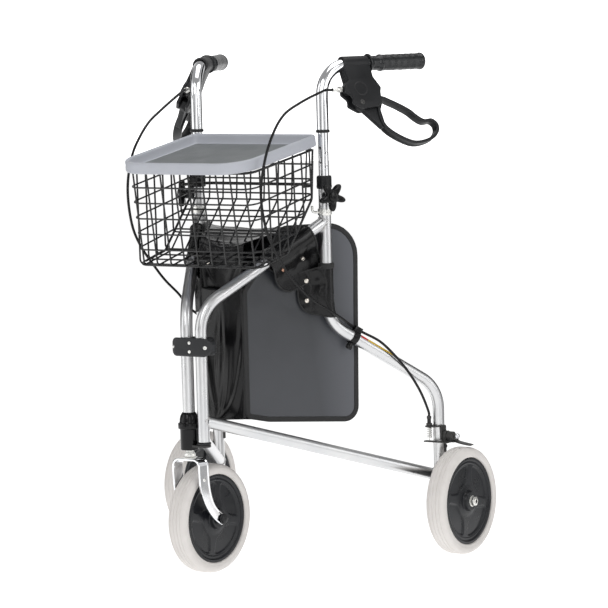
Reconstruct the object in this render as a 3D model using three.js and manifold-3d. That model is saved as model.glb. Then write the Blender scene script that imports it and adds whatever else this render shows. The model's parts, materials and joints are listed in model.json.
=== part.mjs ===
// Folding three-wheel walker with a wire basket, a tray and a vinyl bag.
// Millimetres, +Z up, front wheel towards -Y, user's left side towards +X.
import * as THREE from "three";
import { mergeVertices } from "three/addons/utils/BufferGeometryUtils.js";
import Module from "manifold-3d";

const wasm = await Module();
wasm.setup();

// ---------------------------------------------------------------- driving dimensions

const LEFT = 1;
const RIGHT = -1;
const SIDES = [LEFT, RIGHT];
const GAP = 0.3; // space left between pieces that touch
const RUN = 0.4; // radial clearance of pieces that turn or slide in each other
const FACET_ROOM = 0.4; // extra room round a faceted neighbour that is turned against its own facets

// Two flat side frames open like a V from the front legs.
const HALF_LEGS = 16; // front leg axis from the middle plane
const SPLAY = THREE.MathUtils.degToRad(29.2); // each side frame from straight back
const REAR_LEG = 486; // rear leg axis from the front leg axis, along the side frame
const UPRIGHT = 257.7; // upright axis from the front leg axis, along the side frame
const ORIGIN_Y = 237.2; // the part's origin is this far behind the front legs

// Frame tube, 7/8 inch.
const TUBE_R = 11.1;
const TUBE_BORE_R = 9.9;
const TUBE_SIDES = 12;
const BEND_R = 70;
const BEND_STEPS = 4;
const UPRIGHT_TOP = 715.6;
const SLOPE_FRONT_Z = 448.7; // corner where the upright turns into the sloping tube
const SLOPE_REAR_Z = 310.3; // corner where the sloping tube turns into the rear leg
const REAR_LEG_FOOT = 84;
const DIAGONAL_FRONT_Z = 488.5; // corner where the front leg turns into the diagonal
const DIAGONAL_REAR_Z = 635; // diagonal's axis where it meets the upright
const LEFT_LEG_FOOT = 247.5;
const RIGHT_LEG_FOOT = 262; // inside the caster housing
const LOWER_FRONT_Z = 286;
const LOWER_REAR_Z = 143.8;
const MITRE_R = TUBE_R + GAP;
const TUBE_END = 5; // the lower tube's ends inside the mitres

// Fold hinge on the front legs.
const HINGE_FOOT = 404;
const HINGE_TOP = 438;
const HINGE_REACH = 44;
const HINGE_HALF = 15.5;
const HINGE_PLATE_FOOT = 238;
const HINGE_PLATE_TOP = 242;
const HINGE_PIN_R = 4;

// Handle tube that telescopes in the upright.
const INNER_R = 9.5;
const INNER_BORE_R = 8.3;
const INNER_FOOT = 572;
const STOP_RING_Z = 797;
const STOP_RING_H = 5.4;
const HANDLE_Z = 920; // axis of the hand grip
const HANDLE_SPLAY = THREE.MathUtils.degToRad(22.9); // grip direction from straight back
const HANDLE_BEND_R = 55;
const HANDLE_END = 218;
const GRIP_START = 100.5;
const GRIP_END = 224.7;
const HEIGHT_HOLE_R = 3.3;
const HEIGHT_HOLE_PITCH = 25;
const HEIGHT_HOLES = 6;
const HEIGHT_HOLE_FOOT = 634;

// Height clamp and its star knob.
const CLAMP_R = 14;
const CLAMP_FOOT = 668;
const KNOB_Z = 681;
const KNOB_R = 27;
const KNOB_LOBES = 5;
const KNOB_FACE = 25; // knob's back face from the upright axis
const KNOB_THICK = 12;
const KNOB_BOLT_R = 3.5;

// Brake lever unit, in a plane that leans outwards below the grip.
const BRAKE_LEAN = THREE.MathUtils.degToRad(26);
const HOUSING_HALF = 12.5;
const LEVER_TONGUE_HALF = 5.5;
const LEVER_BAND_HALF = 10;
const LEVER_SLOT_HALF = 6.2;
const LEVER_PIVOT = [58, 82]; // along the grip, below the grip
const LEVER_PIN_R = 3;
const HOUSING_FRONT = 43; // clamp sleeve's ends along the grip
const HOUSING_REAR = 98;
const HOUSING_SLEEVE_R = 14.6;

// Outlines in the brake plane, as [along the grip, below the grip].
const HOUSING_OUTLINE = [
  [43, 6], [43, 36], [33, 45], [29, 58], [41, 70], [37, 82],
  [57, 95], [91, 92], [101, 83], [104, 64], [108, 54], [97, 32], [98, 6],
];
const LEVER_TONGUE = [
  [48, 76], [62, 70], [90, 69], [118, 77], [112, 92], [103, 100], [112, 132],
  [98, 138], [60, 96], [50, 90],
];
const LEVER_OUTER = [
  [114, 79], [128, 75], [162, 100], [172, 112], [182, 121], [206, 122],
  [213, 140], [206, 152], [186, 164], [150, 169], [124, 160], [96, 137],
];
const LEVER_INNER = [
  [112, 88], [124, 88], [159, 109], [168, 120], [178, 129], [191, 138],
  [190, 149], [184, 155], [160, 157], [134, 149], [108, 127], [103, 108],
];

// Cable barrel in the front of the housing.
const BARREL_DROP = 50; // cable barrel below the grip axis
const BARREL_FRONT = 9;
const BARREL_REAR = 29;

// Brake cable and the clip that holds it on the sloping tube.
const CABLE_R = 2.5;
const CABLE_SIDES = 6;
const CABLE_STEPS = 48;
const CLIP_ALONG = 311; // clip's place along the side frame
const CLIP_LIFT = 17; // cable axis over the sloping tube's axis
const CLIP_HALF = 6;
const CLIP_ROOM = 1; // radial room of the cable in the clip

// The loop in front of the handle, as [outwards from the middle plane, back, up].
const LEFT_LOOP = [
  [163, 182, 871], [164, 119, 856], [163, 70, 838], [162, 40, 812], [161, 8, 760], [160, -6, 698],
  [161, 5, 639], [162, 22, 607], [163, 45, 577], [163, 74, 547], [166, 133, 502], [169, 193, 473],
  [170, 223, 459],
];
const RIGHT_LOOP = [
  [163, 190, 864], [162, 137, 840], [160, 100, 822], [160, 71, 797], [160, 45, 764], [160, 28, 705],
  [160, 38, 636], [160, 61, 597], [162, 108, 552], [164, 141, 525], [167, 188, 494], [170, 223, 466],
];

// Rear brake.
const ADJUSTER_AHEAD = 20.3; // adjuster axis ahead of the rear leg, along the side frame
const BRACKET_FOOT = 186;
const BRACKET_TOP = 234;
const BRACKET_R = 14.5;
const BRACKET_PLATE_Z = 237.4;
const BRACKET_PLATE_H = 3;
const PIVOT_Y = -4;
const PIVOT_Z = 221;
const PIVOT_R = 3;
const ARM_INNER = 22.5;
const ARM_OUTER = 35.5;

// Wheels.
const WHEEL_R = 100;
const WHEEL_HALF = 20;
const REAR_BOSS = 22; // hub boss faces from the wheel's middle plane
const FRONT_BOSS = 23;
const HUB_R = 81;
const WHEEL_STEPS = 28; // a multiple of 4, so that a flat facet stands on the floor
const AXLE_R = 5;
const AXLE_SIDES = 10;
const REAR_WHEEL_OUT = 46.8; // rear wheel's middle plane outside the rear leg axis
const CASTER_TRAIL = 50.5;
const CASTER_YAW = THREE.MathUtils.degToRad(4); // caster stands a little turned at rest
const HOUSING_FOOT = 232;
const HOUSING_R = 16.7;
const HOUSING_SIDES = 16;
const CASTER_RING_R = 19.5;
const STEM_R = 6;
const FORK_TOP = 217;
const FORK_HALF = 33;
const FORK_STRAP = 5;
const FORK_WIDE = 20;

// Basket, tray and bag.
const BASKET_HALF = 138;
const BASKET_WALL = 3;
const BASKET_PROFILE = [[-8, 736.5], [22, 567.5], [108, 586], [192, 676], [199, 769]]; // [back, up]
const RAIL_Z = 702;
const RAIL_R = 3;
const RAIL_HALF = 135.5;
const RAIL_Y = 221;
const RAIL_BEND_R = 40;
const TRAY_HALF = 141;
const TRAY_DEEP = 260;
const TRAY_REAR_Y = 212.7;
const TRAY_REAR_Z = 795.6;
const TRAY_TILT = THREE.MathUtils.degToRad(9);
const TRAY_H = 21;
const TRAY_POCKET = 17.5;
const TRAY_RIM = 9;
const PANEL_NEAR = 14; // bag panel's faces inside the side frame's plane
const PANEL_FAR = 19;
const FRONT_GUSSET_Y = 84;
const REAR_PANEL_Y = 290;
const SOFT_THICK = 4;

// ---------------------------------------------------------------- materials

function material(color, roughness, metalness) {
  return new THREE.MeshStandardMaterial({ color, roughness, metalness });
}

const CHROME = material(0xc9ccd0, 0.25, 1);
const ZINC = material(0xb4b8bc, 0.35, 1);
const BLACK_PLASTIC = material(0x1b1c1e, 0.5, 0);
const BLACK_STEEL = material(0x17181a, 0.4, 0.5);
const GREY_TYRE = material(0xcfcac4, 0.75, 0);
const HUB_PLASTIC = material(0x303438, 0.45, 0);
const GRIP_RUBBER = material(0x222427, 0.7, 0);
const TRAY_PLASTIC = material(0x84898d, 0.55, 0);
const WIRE_BLACK = material(0x111214, 0.35, 0.3);
const VINYL_BLACK = material(0x151617, 0.45, 0);
const VINYL_GREY = material(0x4a4c4f, 0.5, 0);

// ---------------------------------------------------------------- solids

// A closed geometry as a solid that can be cut and joined.
function solidOf(geometry) {
  const bare = geometry.clone();
  bare.deleteAttribute("normal");
  bare.deleteAttribute("uv");
  const merged = mergeVertices(bare, 1e-4);
  return new wasm.Manifold(new wasm.Mesh({
    numProp: 3,
    vertProperties: new Float32Array(merged.attributes.position.array),
    triVerts: new Uint32Array(merged.index.array),
  }));
}

// A solid back as a geometry for a mesh.
function geometryOf(solid) {
  const mesh = solid.getMesh();
  const geometry = new THREE.BufferGeometry();
  geometry.setAttribute("position", new THREE.BufferAttribute(mesh.vertProperties, 3));
  geometry.setIndex(new THREE.BufferAttribute(mesh.triVerts, 1));
  geometry.computeVertexNormals();
  return geometry;
}

function join(...geometries) {
  const solids = geometries.map(solidOf);
  return geometryOf(solids.reduce((whole, piece) => whole.add(piece)));
}

function cut(geometry, ...tools) {
  const solids = tools.map(solidOf);
  return geometryOf(solids.reduce((whole, tool) => whole.subtract(tool), solidOf(geometry)));
}

// A path of straight runs joined by round bends, with a station only where the shape needs it.
class BentPath extends THREE.Curve {
  constructor(corners, bendRadius, bendSteps) {
    super();
    this.stations = [];
    const points = corners.map((corner) => new THREE.Vector3(...corner));
    for (let i = 0; i < points.length; i += 1) {
      const before = i > 0 ? points[i].clone().sub(points[i - 1]).normalize() : null;
      const after = i < points.length - 1 ? points[i + 1].clone().sub(points[i]).normalize() : null;
      if (!before || !after) {
        this.stations.push({ point: points[i], tangent: before || after });
      } else {
        this.addBend(points[i], before, after, bendRadius, bendSteps);
      }
    }
  }

  addBend(corner, before, after, radius, steps) {
    const angle = before.angleTo(after);
    const inward = after.clone().addScaledVector(before, -after.dot(before)).normalize();
    const start = corner.clone().addScaledVector(before, -radius * Math.tan(angle / 2));
    for (let k = 0; k <= steps; k += 1) {
      const turn = (angle * k) / steps;
      const point = start.clone()
        .addScaledVector(before, radius * Math.sin(turn))
        .addScaledVector(inward, radius * (1 - Math.cos(turn)));
      const tangent = before.clone().multiplyScalar(Math.cos(turn))
        .addScaledVector(inward, Math.sin(turn));
      this.stations.push({ point, tangent });
    }
  }

  stationAt(u) {
    return this.stations[Math.round(u * (this.stations.length - 1))];
  }

  getPointAt(u, target = new THREE.Vector3()) {
    return target.copy(this.stationAt(u).point);
  }

  getTangentAt(u, target = new THREE.Vector3()) {
    return target.copy(this.stationAt(u).tangent);
  }
}

function circlePoints(radius, sides) {
  const points = [];
  for (let k = 0; k < sides; k += 1) {
    const angle = (2 * Math.PI * (k + 0.5)) / sides;
    points.push(new THREE.Vector2(radius * Math.cos(angle), radius * Math.sin(angle)));
  }
  return points;
}

// A round section, with a bore when boreRadius is over zero.
function roundSection(radius, boreRadius, sides) {
  const shape = new THREE.Shape(circlePoints(radius, sides));
  if (boreRadius > 0) {
    shape.holes.push(new THREE.Path(circlePoints(boreRadius, sides)));
  }
  return shape;
}

function tube(corners, radius, boreRadius, bendRadius = BEND_R, sides = TUBE_SIDES) {
  const path = new BentPath(corners, bendRadius, BEND_STEPS);
  return new THREE.ExtrudeGeometry(roundSection(radius, boreRadius, sides), {
    extrudePath: path,
    steps: path.stations.length - 1,
    bevelEnabled: false,
  });
}

// A straight rod between two points.
function rod(from, to, radius, sides = 8) {
  return tube([from, to], radius, 0, BEND_R, sides);
}

// An outline in XY raised along Z from low to high.
function slab(points, low, high, holes = []) {
  const shape = new THREE.Shape(points.map(([x, y]) => new THREE.Vector2(x, y)));
  for (const hole of holes) {
    shape.holes.push(new THREE.Path(hole.map(([x, y]) => new THREE.Vector2(x, y))));
  }
  const geometry = new THREE.ExtrudeGeometry(shape, { depth: high - low, bevelEnabled: false });
  geometry.translate(0, 0, low);
  return geometry;
}

// An outline given in YZ, as thick as from low to high along X.
function sideSlab(points, low, high, holes = []) {
  const geometry = slab(points, low, high, holes);
  geometry.rotateY(Math.PI / 2);
  geometry.rotateX(Math.PI / 2);
  return geometry;
}

function box(low, high) {
  const size = high.map((value, axis) => value - low[axis]);
  const geometry = new THREE.BoxGeometry(...size);
  geometry.translate(...low.map((value, axis) => value + size[axis] / 2));
  return geometry;
}

// A profile of [radius, height] pairs turned about Z; it closes on itself or starts and ends at 0.
// Its facets line up with those of a round section with as many sides.
function turned(profile, steps) {
  const points = profile.map(([radius, height]) => new THREE.Vector2(radius, height));
  if (profile[0][0] > 0) {
    points.push(points[0].clone());
  }
  const geometry = new THREE.LatheGeometry(points, steps);
  geometry.rotateX(Math.PI / 2);
  geometry.rotateZ(Math.PI / steps);
  return geometry;
}

// The same, about X, with the profile's height along +X.
function turnedAboutX(profile, steps) {
  const geometry = turned(profile, steps);
  geometry.rotateY(Math.PI / 2);
  return geometry;
}

// The outline of a flat band that follows a curve, with round ends left square.
function bandOutline(points, halfWidths, steps) {
  const curve = new THREE.SplineCurve(points.map(([x, y]) => new THREE.Vector2(x, y)));
  const one = [];
  const other = [];
  for (let k = 0; k <= steps; k += 1) {
    const u = k / steps;
    const place = curve.getPoint(u);
    const along = curve.getTangent(u);
    const half = THREE.MathUtils.lerp(halfWidths[0], halfWidths[1], u);
    one.push([place.x - along.y * half, place.y + along.x * half]);
    other.unshift([place.x + along.y * half, place.y - along.x * half]);
  }
  return [...one, ...other];
}

// Corners of an outline cut round, each with its own radius.
function roundedOutline(corners, steps) {
  const points = [];
  const count = corners.length;
  for (let i = 0; i < count; i += 1) {
    const [x, y, radius] = corners[i];
    const corner = new THREE.Vector2(x, y);
    const before = new THREE.Vector2(...corners[(i + count - 1) % count]).sub(corner).normalize();
    const after = new THREE.Vector2(...corners[(i + 1) % count]).sub(corner).normalize();
    if (!radius) {
      points.push([x, y]);
      continue;
    }
    const half = Math.acos(THREE.MathUtils.clamp(before.dot(after), -1, 1)) / 2;
    const middle = before.clone().add(after).normalize();
    const centre = corner.clone().addScaledVector(middle, radius / Math.sin(half));
    const start = corner.clone().addScaledVector(before, radius / Math.tan(half)).sub(centre);
    const end = corner.clone().addScaledVector(after, radius / Math.tan(half)).sub(centre);
    const from = start.angle();
    let sweep = end.angle() - from;
    sweep -= 2 * Math.PI * Math.round(sweep / (2 * Math.PI));
    for (let k = 0; k <= steps; k += 1) {
      const angle = from + (sweep * k) / steps;
      points.push([centre.x + radius * Math.cos(angle), centre.y + radius * Math.sin(angle)]);
    }
  }
  return points;
}

// ---------------------------------------------------------------- assembly helpers

const walker = new THREE.Group();

function groupAt(parent, x, y, z, turn = 0) {
  const group = new THREE.Group();
  group.position.set(x, y, z);
  group.rotation.z = turn;
  parent.add(group);
  return group;
}

function addPiece(parent, name, geometry, finish) {
  const mesh = new THREE.Mesh(geometry, finish);
  mesh.name = name;
  parent.add(mesh);
  return mesh;
}

function sideName(side, name) {
  return `${side === LEFT ? "left" : "right"}_${name}`;
}

const model = groupAt(walker, 0, -ORIGIN_Y, 0);

// A side frame's own axes: X across it (outwards times the side), Y back along it, Z up.
const sideFrames = new Map(SIDES.map((side) => [
  side,
  groupAt(model, side * HALF_LEGS, 0, 0, -side * SPLAY),
]));

// A point given as (outwards, along, up) on a side frame, in the model's axes.
function onSideFrame(side, outwards, along, up) {
  return new THREE.Vector3(
    side * (HALF_LEGS + along * Math.sin(SPLAY) + outwards * Math.cos(SPLAY)),
    along * Math.cos(SPLAY) - outwards * Math.sin(SPLAY),
    up,
  );
}

// ---------------------------------------------------------------- frame tubes

function slopeZ(along) {
  const fall = (SLOPE_FRONT_Z - SLOPE_REAR_Z) / (REAR_LEG - UPRIGHT);
  return SLOPE_FRONT_Z - (along - UPRIGHT) * fall;
}

function diagonalZ(along) {
  return DIAGONAL_FRONT_Z + (along * (DIAGONAL_REAR_Z - DIAGONAL_FRONT_Z)) / UPRIGHT;
}

// Upright, sloping tube and rear leg: one bent tube.
function sideTube(side) {
  const bent = tube([
    [0, UPRIGHT, UPRIGHT_TOP],
    [0, UPRIGHT, SLOPE_FRONT_Z],
    [0, REAR_LEG, SLOPE_REAR_Z],
    [0, REAR_LEG, REAR_LEG_FOOT],
  ], TUBE_R, TUBE_BORE_R);
  const boltHole = rod([side * 5, UPRIGHT, KNOB_Z], [side * 15, UPRIGHT, KNOB_Z], KNOB_BOLT_R + RUN);
  const axleHole = rod([-20, 0, 0], [20, 0, 0], AXLE_R + RUN);
  axleHole.rotateZ(side * SPLAY);
  axleHole.translate(0, REAR_LEG, WHEEL_R);
  return cut(bent, boltHole, axleHole);
}

// Front leg and the diagonal that braces the upright.
function frontTube(side) {
  const foot = side === LEFT ? LEFT_LEG_FOOT : RIGHT_LEG_FOOT;
  const end = UPRIGHT - 4;
  const bent = tube([
    [0, 0, foot],
    [0, 0, DIAGONAL_FRONT_Z],
    [0, end, diagonalZ(end)],
  ], TUBE_R, TUBE_BORE_R);
  const mitre = rod([0, UPRIGHT, 560], [0, UPRIGHT, UPRIGHT_TOP], MITRE_R, TUBE_SIDES);
  return cut(bent, mitre);
}

// Straight tube from the front leg to the rear leg; the right one ends at the caster housing.
function lowerTube(side) {
  const fall = (LOWER_FRONT_Z - LOWER_REAR_Z) / REAR_LEG;
  const ends = [TUBE_END, REAR_LEG - TUBE_END];
  const axis = ends.map((along) => [0, along, LOWER_FRONT_Z - along * fall]);
  const straight = tube(axis, TUBE_R, TUBE_BORE_R);
  const frontRadius = side === LEFT ? MITRE_R : CASTER_RING_R + GAP + FACET_ROOM;
  const frontMitre = rod([0, 0, 200], [0, 0, 340], frontRadius, side === LEFT ? TUBE_SIDES : HOUSING_SIDES);
  const rearMitre = rod([0, REAR_LEG, 90], [0, REAR_LEG, 220], MITRE_R, TUBE_SIDES);
  return cut(straight, frontMitre, rearMitre);
}

for (const side of SIDES) {
  const frame = sideFrames.get(side);
  addPiece(frame, sideName(side, "side_tube"), sideTube(side), CHROME);
  addPiece(frame, sideName(side, "front_tube"), frontTube(side), CHROME);
  addPiece(frame, sideName(side, "lower_tube"), lowerTube(side), CHROME);
}

// ---------------------------------------------------------------- fold hinge and caster housing

// The two legs stand in one bracket; the left leg turns in it.
function hingeBracket() {
  const outline = roundedOutline([
    [-HINGE_REACH, -HINGE_HALF, 14], [HINGE_REACH, -HINGE_HALF, 14],
    [HINGE_REACH, HINGE_HALF, 14], [-HINGE_REACH, HINGE_HALF, 14],
  ], 4);
  const body = slab(outline, HINGE_FOOT, HINGE_TOP);
  const bores = SIDES.map((side) => rod(
    [side * HALF_LEGS, 0, HINGE_FOOT - 5],
    [side * HALF_LEGS, 0, HINGE_TOP + 5],
    TUBE_R + RUN,
    TUBE_SIDES,
  ));
  return cut(body, ...bores);
}

// Sleeve on the right leg's foot that carries the caster stem.
function casterHousing() {
  const stemBore = STEM_R + RUN;
  const legBore = TUBE_R + GAP;
  return turned([
    [stemBore, HOUSING_FOOT], [HOUSING_R, HOUSING_FOOT], [HOUSING_R, 272], [CASTER_RING_R, 273],
    [CASTER_RING_R, 282], [16, 283.5], [15.6, 293], [12.8, 300.5], [legBore, 301],
    [legBore, 258], [stemBore, 258],
  ], HOUSING_SIDES);
}

// Tongue from the housing under the left leg: the hinge's lower end.
function lowerHingePlate() {
  const tongue = slab(roundedOutline([
    [-HALF_LEGS - 21, -21, 18], [HALF_LEGS + 13, -12, 11.5],
    [HALF_LEGS + 13, 12, 11.5], [-HALF_LEGS - 21, 21, 18],
  ], 4), HINGE_PLATE_FOOT, HINGE_PLATE_TOP);
  const housingR = HOUSING_R + GAP + FACET_ROOM;
  const housing = rod([-HALF_LEGS, 0, 230], [-HALF_LEGS, 0, 250], housingR, HOUSING_SIDES);
  const pin = rod([HALF_LEGS, 0, HINGE_PLATE_TOP - 1], [HALF_LEGS, 0, HINGE_PLATE_TOP + 20], HINGE_PIN_R);
  return join(cut(tongue, housing), pin);
}

// Plug in the left leg's foot that turns on the plate's pin.
function leftLegPlug() {
  const foot = HINGE_PLATE_TOP + 0.6;
  const bore = HINGE_PIN_R + RUN;
  const plugR = TUBE_BORE_R - GAP;
  return turned([
    [bore, foot], [13, foot], [13, LEFT_LEG_FOOT - 0.6], [plugR, LEFT_LEG_FOOT - GAP],
    [plugR, foot + 28], [bore, foot + 28],
  ], TUBE_SIDES);
}

addPiece(model, "hinge_bracket", hingeBracket(), BLACK_PLASTIC);
addPiece(model, "lower_hinge_plate", lowerHingePlate(), BLACK_STEEL);
const rightLeg = groupAt(model, -HALF_LEGS, 0, 0);
const leftLeg = groupAt(model, HALF_LEGS, 0, 0);
addPiece(rightLeg, "caster_housing", casterHousing(), BLACK_PLASTIC);
addPiece(leftLeg, "left_leg_plug", leftLegPlug(), BLACK_PLASTIC);

// ---------------------------------------------------------------- wheels

function tyre() {
  const flat = Math.cos(Math.PI / WHEEL_STEPS); // the flats, not the corners, lie on the wheel's circle
  const tread = WHEEL_R / flat;
  return turnedAboutX([
    [HUB_R + GAP, -17], [90, -WHEEL_HALF], [97 / flat, -15], [tread, -6],
    [tread, 6], [97 / flat, 15], [90, WHEEL_HALF], [HUB_R + GAP, 17],
  ], WHEEL_STEPS);
}

// Dished hub with a boss on each side.
function hub(boss) {
  const bore = AXLE_R + RUN;
  return turnedAboutX([
    [bore, -boss], [16, -boss], [20, -13], [66, -9], [HUB_R, -16],
    [HUB_R, 16], [66, 9], [20, 13], [16, boss], [bore, boss],
  ], WHEEL_STEPS);
}

function rearAxle(side) {
  const legFace = TUBE_R + GAP;
  const headInner = -REAR_WHEEL_OUT - legFace - 6;
  const rodProfile = [
    [0, headInner], [8, headInner], [8, headInner + 6], [AXLE_R, headInner + 6.01],
    [AXLE_R, -REAR_WHEEL_OUT + legFace + 0.6], [8.5, -REAR_WHEEL_OUT + legFace + 0.61],
    [8.5, -REAR_BOSS - GAP], [AXLE_R, -REAR_BOSS - GAP + 0.01], [AXLE_R, 31], [0, 31],
  ];
  const axle = turnedAboutX(rodProfile, AXLE_SIDES);
  return side === LEFT ? axle : axle.rotateZ(Math.PI);
}

function axleNut(side) {
  const from = REAR_BOSS + GAP + 0.5;
  const nut = turnedAboutX([
    [AXLE_R + GAP, from], [11, from], [11, from + 2], [8, from + 2.5], [8, from + 9],
    [6.5, from + 10.5], [AXLE_R + GAP, from + 10.5],
  ], AXLE_SIDES);
  return side === LEFT ? nut : nut.rotateZ(Math.PI);
}

for (const side of SIDES) {
  const leg = onSideFrame(side, 0, REAR_LEG, 0);
  const wheel = groupAt(model, leg.x + side * REAR_WHEEL_OUT, leg.y, WHEEL_R);
  addPiece(wheel, sideName(side, "rear_tyre"), tyre(), GREY_TYRE);
  addPiece(wheel, sideName(side, "rear_hub"), hub(REAR_BOSS), HUB_PLASTIC);
  addPiece(wheel, sideName(side, "rear_axle"), rearAxle(side), ZINC);
  addPiece(wheel, sideName(side, "axle_nut"), axleNut(side), ZINC);
}

// ---------------------------------------------------------------- front caster

// Pressed fork: a strap over the wheel and two blades that sweep back to the axle.
function fork() {
  const under = 165;
  const inner = FORK_HALF - FORK_STRAP;
  const strapOutline = roundedOutline([
    [-FORK_HALF, under], [-inner, under], [-inner, FORK_TOP - FORK_STRAP, 8],
    [inner, FORK_TOP - FORK_STRAP, 8], [inner, under], [FORK_HALF, under],
    [FORK_HALF, FORK_TOP, 12], [-FORK_HALF, FORK_TOP, 12],
  ], 3);
  const strap = slab(strapOutline, -FORK_WIDE / 2, FORK_WIDE / 2);
  strap.rotateX(Math.PI / 2);
  const bladeOutline = bandOutline([
    [1, 180], [6, 152], [18, 126], [36, 108], [CASTER_TRAIL + 5, 97],
  ], [10, 8], 8);
  const blades = SIDES.map((side) => sideSlab(
    bladeOutline,
    side === LEFT ? inner : -FORK_HALF,
    side === LEFT ? FORK_HALF : -inner,
  ));
  const axleHole = rod([-60, CASTER_TRAIL, WHEEL_R], [60, CASTER_TRAIL, WHEEL_R], AXLE_R + RUN);
  return cut(join(strap, ...blades), axleHole);
}

function casterStem() {
  return turned([
    [0, FORK_TOP + GAP], [11, FORK_TOP + GAP], [11, 228.5], [8, HOUSING_FOOT - 0.5],
    [STEM_R, HOUSING_FOOT - 0.49], [STEM_R, 256], [0, 256],
  ], 10);
}

function frontAxle() {
  const face = FORK_HALF + GAP;
  return turnedAboutX([
    [0, -face - 5], [10, -face - 5], [10, -face], [AXLE_R, -face + 0.01],
    [AXLE_R, face - 0.01], [10, face], [10, face + 5], [0, face + 5],
  ], AXLE_SIDES);
}

const caster = groupAt(model, -HALF_LEGS, 0, 0, -CASTER_YAW);
addPiece(caster, "caster_fork", fork(), CHROME);
addPiece(caster, "caster_stem", casterStem(), ZINC);
const frontWheel = groupAt(caster, 0, CASTER_TRAIL, WHEEL_R);
addPiece(frontWheel, "front_axle", frontAxle(), BLACK_STEEL);
addPiece(frontWheel, "front_tyre", tyre(), GREY_TYRE);
addPiece(frontWheel, "front_hub", hub(FRONT_BOSS), HUB_PLASTIC);

// ---------------------------------------------------------------- height clamp and handle

// Clamp on top of the upright, with a threaded boss on the outer side.
function clampCollar(side) {
  const top = UPRIGHT_TOP + GAP;
  const sleeve = turned([
    [TUBE_R + GAP, CLAMP_FOOT], [CLAMP_R - 1, CLAMP_FOOT], [CLAMP_R - 1, 694], [CLAMP_R, 695],
    [CLAMP_R, top + 1], [CLAMP_R - 1, top + 2.5], [INNER_R + RUN, top + 2.5],
    [INNER_R + RUN, top], [TUBE_R + GAP, top],
  ], TUBE_SIDES);
  const boss = rod([side * 12.2, 0, KNOB_Z], [side * (KNOB_FACE - 1), 0, KNOB_Z], 9);
  const bore = rod([side * 8, 0, KNOB_Z], [side * 30, 0, KNOB_Z], KNOB_BOLT_R + RUN);
  return cut(join(sleeve, boss), bore);
}

// Five-lobed knob and its bolt, turned about the outward axis.
function clampKnob(side) {
  const points = [];
  const steps = KNOB_LOBES * 6;
  for (let k = 0; k < steps; k += 1) {
    const angle = (2 * Math.PI * k) / steps;
    const lobe = Math.pow(0.5 + 0.5 * Math.cos(KNOB_LOBES * angle), 1.6);
    const radius = THREE.MathUtils.lerp(12, KNOB_R, lobe);
    points.push([radius * Math.cos(angle), radius * Math.sin(angle)]);
  }
  const star = sideSlab(points, KNOB_FACE, KNOB_FACE + KNOB_THICK);
  const cap = rod([KNOB_FACE + 2, 0, 0], [KNOB_FACE + KNOB_THICK + 3, 0, 0], 9);
  const bolt = rod([TUBE_BORE_R + 0.4, 0, 0], [KNOB_FACE + 3, 0, 0], KNOB_BOLT_R);
  const knob = join(star, cap, bolt);
  return side === LEFT ? knob : knob.rotateZ(Math.PI);
}

// Swaged tube: slim below the stop ring, full size above it, bent back to the grip.
function handleTube(side) {
  const collarFoot = STOP_RING_Z + STOP_RING_H + GAP;
  const slim = tube([[0, 0, INNER_FOOT], [0, 0, collarFoot + 4]], INNER_R, INNER_BORE_R);
  const collar = tube([[0, 0, collarFoot], [0, 0, collarFoot + 3]], TUBE_R, INNER_BORE_R);
  const full = tube([
    [0, 0, collarFoot + 1],
    [0, 0, HANDLE_Z],
    [0, HANDLE_END, HANDLE_Z],
  ], TUBE_R, TUBE_BORE_R, HANDLE_BEND_R);
  const holes = [];
  for (let k = 0; k < HEIGHT_HOLES; k += 1) {
    const z = HEIGHT_HOLE_FOOT + k * HEIGHT_HOLE_PITCH;
    holes.push(rod([side * 5, 0, z], [side * 15, 0, z], HEIGHT_HOLE_R, 8));
  }
  return cut(join(slim, collar, full), ...holes);
}

function stopRing() {
  return turned([
    [INNER_R + GAP, 0], [12.2, 0], [12.8, 1], [12.8, STOP_RING_H - 1],
    [12.2, STOP_RING_H], [INNER_R + GAP, STOP_RING_H],
  ], TUBE_SIDES);
}

// Hand grip with a flange, a neck and a closed end, along +Y.
function grip() {
  const bore = TUBE_R + GAP;
  const geometry = turned([
    [bore, GRIP_START], [17, GRIP_START], [18, GRIP_START + 2], [16.5, GRIP_START + 5],
    [13.6, GRIP_START + 7], [13.4, 124], [15.6, 129], [15.2, 134], [15.2, 216],
    [14, 222], [11, GRIP_END], [0, GRIP_END], [0, HANDLE_END + GAP], [bore, HANDLE_END + GAP],
  ].map(([radius, along]) => [radius, -along]).reverse(), TUBE_SIDES);
  geometry.rotateX(Math.PI / 2);
  return geometry;
}

// The brake unit's own axes: X across it, Y along the grip, Z up towards the grip.
function leanBrake(geometry, side) {
  geometry.rotateY(-side * BRAKE_LEAN);
  geometry.translate(0, 0, HANDLE_Z);
  return geometry;
}

// Outlines in the brake plane are [along the grip, below the grip].
function brakeSlab(points, low, high) {
  return sideSlab(points.map(([along, below]) => [along, -below]), low, high);
}

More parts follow.
